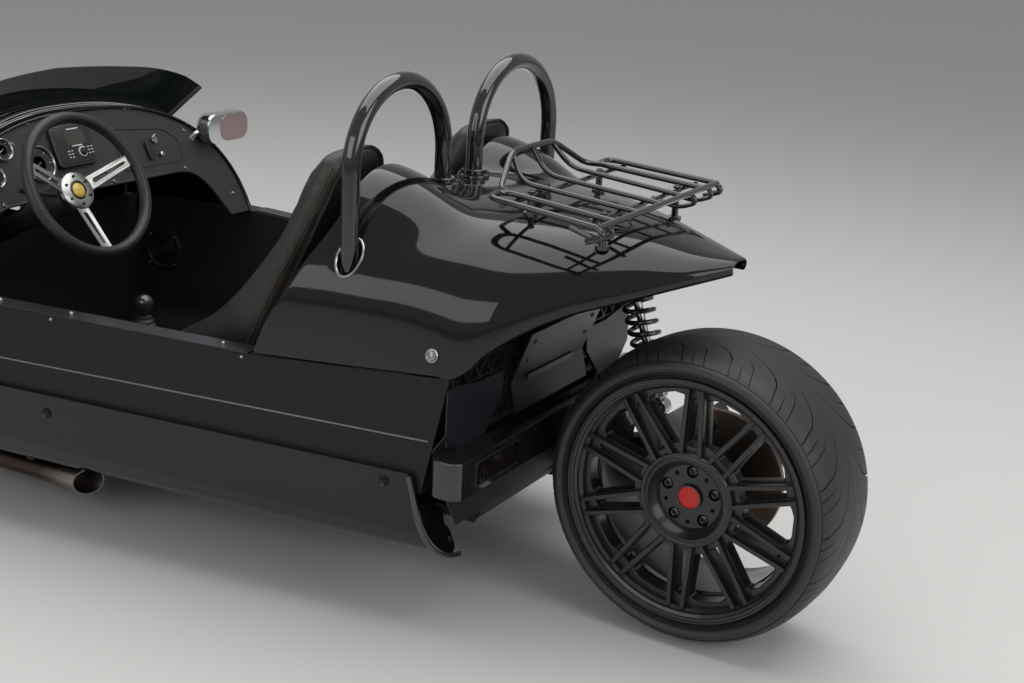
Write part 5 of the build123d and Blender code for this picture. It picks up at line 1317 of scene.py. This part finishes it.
# Roll hoops: bent steel tube behind the seats, powder coated gloss black. The
# inner legs pass through clamped collars, the outer legs through lipped slots.
hoop_gloss = coat("hoop_gloss", (0.006, 0.006, 0.006), 0.1, clear=1.0, drift=0.2)
dress(hoop_gloss, "roll_hoops")
collars = bmesh.new()
for side in (1, -1):
    foot = Vector((rear_axle + HOOP_AT, side * 0.064, 0.89))
    turned(collars, ((0.0195, -0.004), (0.0195, 0.01), (0.021, 0.012), (0.026, 0.012), (0.0275, 0.01),
                     (0.0275, 0.002), (0.036, 0.0), (0.037, -0.002), (0.037, -0.006), (0.0195, -0.006)),
           steps=40, place=Matrix.Translation(foot) @ upright)
    for turn in (math.radians(40), math.radians(220)):
        spot = foot + Vector((0.031 * math.cos(turn), 0.031 * math.sin(turn), 0.001))
        dished_bolt(collars, spot, (0, 0, 1), 0.005)
piece("hoop_collars", collars, hoop_gloss)
slot_lips = bmesh.new()
for side in (1, -1):
    lip = [slot_edge(turn, side) - Vector((0, side * 0.001, 0)) for turn in around(28)]
    rod(slot_lips, lip, 0.003, sides=8, closed=True)
piece("slot_lips", slot_lips, bolt_bright)

# Luggage rack: bent steel rod, welded and powder coated gloss black. Two side
# rails turn in at the front, the middle bars rise to a leaning guard rail
# there, and four feet bolt it to the tail.
rack = bmesh.new()
ROD = 0.0065
RACK_FRONT, RACK_BACK = 0.42, 0.16


def rack_spot(ahead, y, up=0.0):
    """Point of the rack, whose bars slope down towards the rear."""
    return Vector((rear_axle + ahead, y, 0.928 - 0.018 * (RACK_FRONT - ahead) / (RACK_FRONT - RACK_BACK)
                   + up))


def rack_bar(spots, side=1, thick=1.0, bend=0.0):
    """Bent bar of the rack, through spots given as ahead, across and up."""
    rod(rack, [rack_spot(ahead, side * y, up) for ahead, y, up in spots], ROD * thick, bend=bend)


for side in (1, -1):
    rack_bar(((RACK_BACK, 0.21, 0), (0.3, 0.204, 0), (RACK_FRONT, 0.2, 0), (RACK_FRONT + 0.002, 0.266, 0),
              (0.3, 0.272, 0), (RACK_BACK, 0.281, 0), (RACK_BACK - 0.014, 0.281, -0.016),
              (RACK_BACK + 0.026, 0.276, -0.034)), side, bend=0.03)
    rack_bar(((RACK_BACK, 0.104, 0), (0.436, 0.108, 0.002), (0.474, 0.084, 0.052)), side, 0.9, 0.03)
    for y in (0.236, 0.15):
        rack_bar(((RACK_BACK + 0.004, y, 0), (RACK_BACK - 0.014, y, -0.02),
                  (RACK_BACK + 0.03, y * 0.98, -0.04), (RACK_BACK + 0.09, y * 0.96, -0.03)), side, 0.8,
                 0.022)
rack_bar(((RACK_BACK, 0.281, 0), (RACK_BACK, -0.281, 0)))
rack_bar(((RACK_BACK, 0, 0), (0.436, 0, 0.002), (0.474, 0, 0.054)), 1, 0.9, 0.03)
rack_bar(((0.41, 0.202, 0), (0.44, 0.182, 0), (0.474, 0.086, 0.056), (0.474, -0.086, 0.056),
          (0.44, -0.182, 0), (0.41, -0.202, 0)), bend=0.03)
for ahead in (0.385, 0.205):
    rack_bar(((ahead, 0.27, -0.01), (ahead, -0.27, -0.01)), 1, 0.8)
    for side in (1, -1):
        foot_y = 0.15 if ahead > 0.3 else 0.17
        foot = Vector((rear_axle + ahead, side * foot_y, on_shell(ahead, 0, foot_y, range(150, 400))[1]))
        rod(rack, (foot - Vector((0, 0, 0.002)), foot + Vector((0, 0, 0.006))), 0.015, sides=20)
        rod(rack, (foot, Vector((foot.x, foot.y, rack_spot(ahead, 0).z - 0.008))), 0.0075)
        dished_bolt(rack, rack_spot(ahead, side * foot_y, -0.002), (0, 0, 1), 0.008)
piece("rack_rods", rack, hoop_gloss, ["luggage_rack"])

# Rear coil-over: a black spring round a silver damper body, between eyes on
# the swing arm and a tower under the tail.
shock_low = Vector((rear_axle + 0.205, -0.188, 0.398))
shock_high = Vector((rear_axle + 0.305, -0.188, 0.6877))
shock_line = shock_high - shock_low
shock_place = aimed(shock_low, shock_line)
shock_long = shock_line.length
coil, damper = bmesh.new(), bmesh.new()
COIL_TURNS, COIL_R = 8, 0.033
coil_route = []
for n in range(COIL_TURNS * 20 + 1):
    turn = 2 * math.pi * n / 20
    coil_route.append((COIL_R * math.cos(turn), 0.052 + (shock_long - 0.092) * n / (COIL_TURNS * 20),
                       COIL_R * math.sin(turn)))
rod(coil, coil_route, 0.0058, sides=10)
turned(damper, ((0.0, 0.018), (0.014, 0.018), (0.022, 0.026), (0.022, 0.038), (0.04, 0.042), (0.041, 0.048),
                (0.036, 0.05), (0.024, 0.051), (0.024, 0.15), (0.02, 0.154), (0.01, 0.156),
                (0.01, shock_long - 0.046), (0.036, shock_long - 0.044), (0.041, shock_long - 0.041),
                (0.04, shock_long - 0.034), (0.022, shock_long - 0.028), (0.018, shock_long - 0.018),
                (0.0, shock_long - 0.018)), steps=40)
for at in (0.0, shock_long):
    eye_place = Matrix.Translation((0, at, 0)) @ shock_place.to_3x3().inverted().to_4x4()
    turned(damper, ((0.0085, -0.016), (0.0185, -0.016), (0.0195, -0.013), (0.0195, 0.013), (0.0185, 0.016),
                    (0.0085, 0.016)), steps=32, place=eye_place)
    turned(damper, ((0.0, -0.02), (0.007, -0.02), (0.0083, -0.018), (0.0083, 0.018), (0.007, 0.02),
                    (0.0, 0.02)), steps=24, place=eye_place)
piece("shock_spring", moved(coil, shock_place), coat("spring_black", (0.014, 0.014, 0.015), 0.28, clear=0.4))
piece("shock_damper", moved(damper, shock_place), coat("damper_silver", (0.42, 0.43, 0.45), 0.25, metal=1.0),
      ["rear_shock"])

# Rear grille and panels: a black frame of triangles under the tail, a folded
# centre panel, a bare corner plate at each side and a low fin under the lamps.
dress(grille_black, "rear_grille")
# Dark panel paint whose blue tint is painted reflection of the sky, used on the centre panel, the corner
# plates and the fins.
dark_panel_painted_blue_reflection = coat("dark_panel_painted_blue_reflection", (0.012, 0.013, 0.017), 0.36, drift=0.12, bump=0.08)
dress(dark_panel_painted_blue_reflection, "rear_centre_panel")
panel_bolts, corner_plates, fins = bmesh.new(), bmesh.new(), bmesh.new()
corner_line = ((0.403, 0.552), (0.388, 0.56), (0.277, 0.543), (0.184, 0.544), (0.191, 0.487), (0.264, 0.408),
               (0.35, 0.41), (0.404, 0.462))
turned_line = ((0.408, 0.404, 0.462), (0.408, 0.35, 0.41), (0.428, 0.372, 0.404), (0.45, 0.404, 0.402))
for side in (1, -1):
    slab(corner_plates, *([(rear_axle + ahead, side * y, z) for y, z in corner_line]
                          for ahead in (0.4068, 0.4092)))
    turned_in = [[(rear_axle + ahead + deep, side * (y + deep * 0.3), z) for ahead, y, z in turned_line]
                 for deep in (-0.0012, 0.0012)]
    slab(corner_plates, *turned_in)
    for ahead, z in ((0.387, 0.556), (0.37, 0.6)):
        dished_bolt(panel_bolts, (rear_axle + ahead, side * 0.128, z), (-0.92, 0, -0.3), 0.0072)
piece("corner_plates", corner_plates, dark_panel_painted_blue_reflection, ["rear_corner_panels"])
for fin in (((0.43, 0.34), (0.388, 0.264), (-0.06, 0.264), (-0.06, 0.34)),
            ((-0.43, 0.34), (-0.388, 0.264), (-0.28, 0.264), (-0.28, 0.34))):
    slab(fins, *([(rear_axle + ahead, y, z) for y, z in fin] for ahead in (0.3845, 0.3875)))
piece("under_fins", fins, dark_panel_painted_blue_reflection)
piece("panel_bolts", panel_bolts, bolt_black)

# Lamp bar: a gloss black box section with rounded ends, with a smoked
# lens let into its back face on each side and a rubber seal round it.
bar_gloss = coat("bar_gloss", (0.008, 0.008, 0.009), 0.16, clear=0.8, drift=0.2)
bar = bmesh.new()
plate(bar, Matrix.Translation((rear_axle + 0.388, 0, 0.34)), 0.072, 0.884, 0.08, corner=0.026, edge=0.004)
piece("lamp_bar_box", bar, bar_gloss, ["rear_lamp_bar"])
lenses, lens_seals = bmesh.new(), bmesh.new()
back_face = rear_axle + 0.3517
for side in (1, -1):
    at = Matrix.Translation((back_face, side * 0.29, 0.38)) @ facing_back
    plate(lens_seals, at, 0.174, 0.056, 0.0022, corner=0.012, edge=0.0006)
    plate(lenses, Matrix.Translation((-0.0018, 0, 0)) @ at, 0.166, 0.048, 0.0022, corner=0.01, edge=0.0008)
    for n in range(9):
        plate(lenses, Matrix.Translation((-0.0036, side * (n - 4) * 0.0165, 0)) @ at, 0.012, 0.04, 0.001,
              corner=0.003)
piece("lens_seals", lens_seals, coat("lens_rubber", (0.01, 0.01, 0.01), 0.5))
piece("rear_lenses", lenses, coat("lens_smoked", (0.0055, 0.0025, 0.0025), 0.16, clear=0.3, shine=0.3))

# Exhaust: bent steel pipe along the left sill, browned by heat towards the
# engine and bright at its slash-cut tip, which has a rolled edge.
pipe_steel = coat("pipe_steel", (0.4, 0.37, 0.34), 0.3, metal=1.0, drift=0.15, grain=25)
burnt = pipe_steel.node_tree
base = burnt.nodes["Principled BSDF"].inputs["Base Color"]
pipe_where = node(burnt, "ShaderNodeTexCoord").outputs["Object"]
pipe_parts = node(burnt, "ShaderNodeSeparateXYZ", feeds={"Vector": pipe_where})
pipe_share = node(burnt, "ShaderNodeMapRange", {"From Min": -0.1, "From Max": 0.06},
                  {"Value": pipe_parts.outputs["X"]})
browned = node(burnt, "ShaderNodeMix", {"B": (0.075, 0.052, 0.04, 1)},
               {"Factor": pipe_share.outputs["Result"], "A": base.links[0].from_socket}, data_type="RGBA",
               blend_type="MIX")
burnt.links.new(browned.outputs["Result"], base)
dress(pipe_steel, "exhaust")
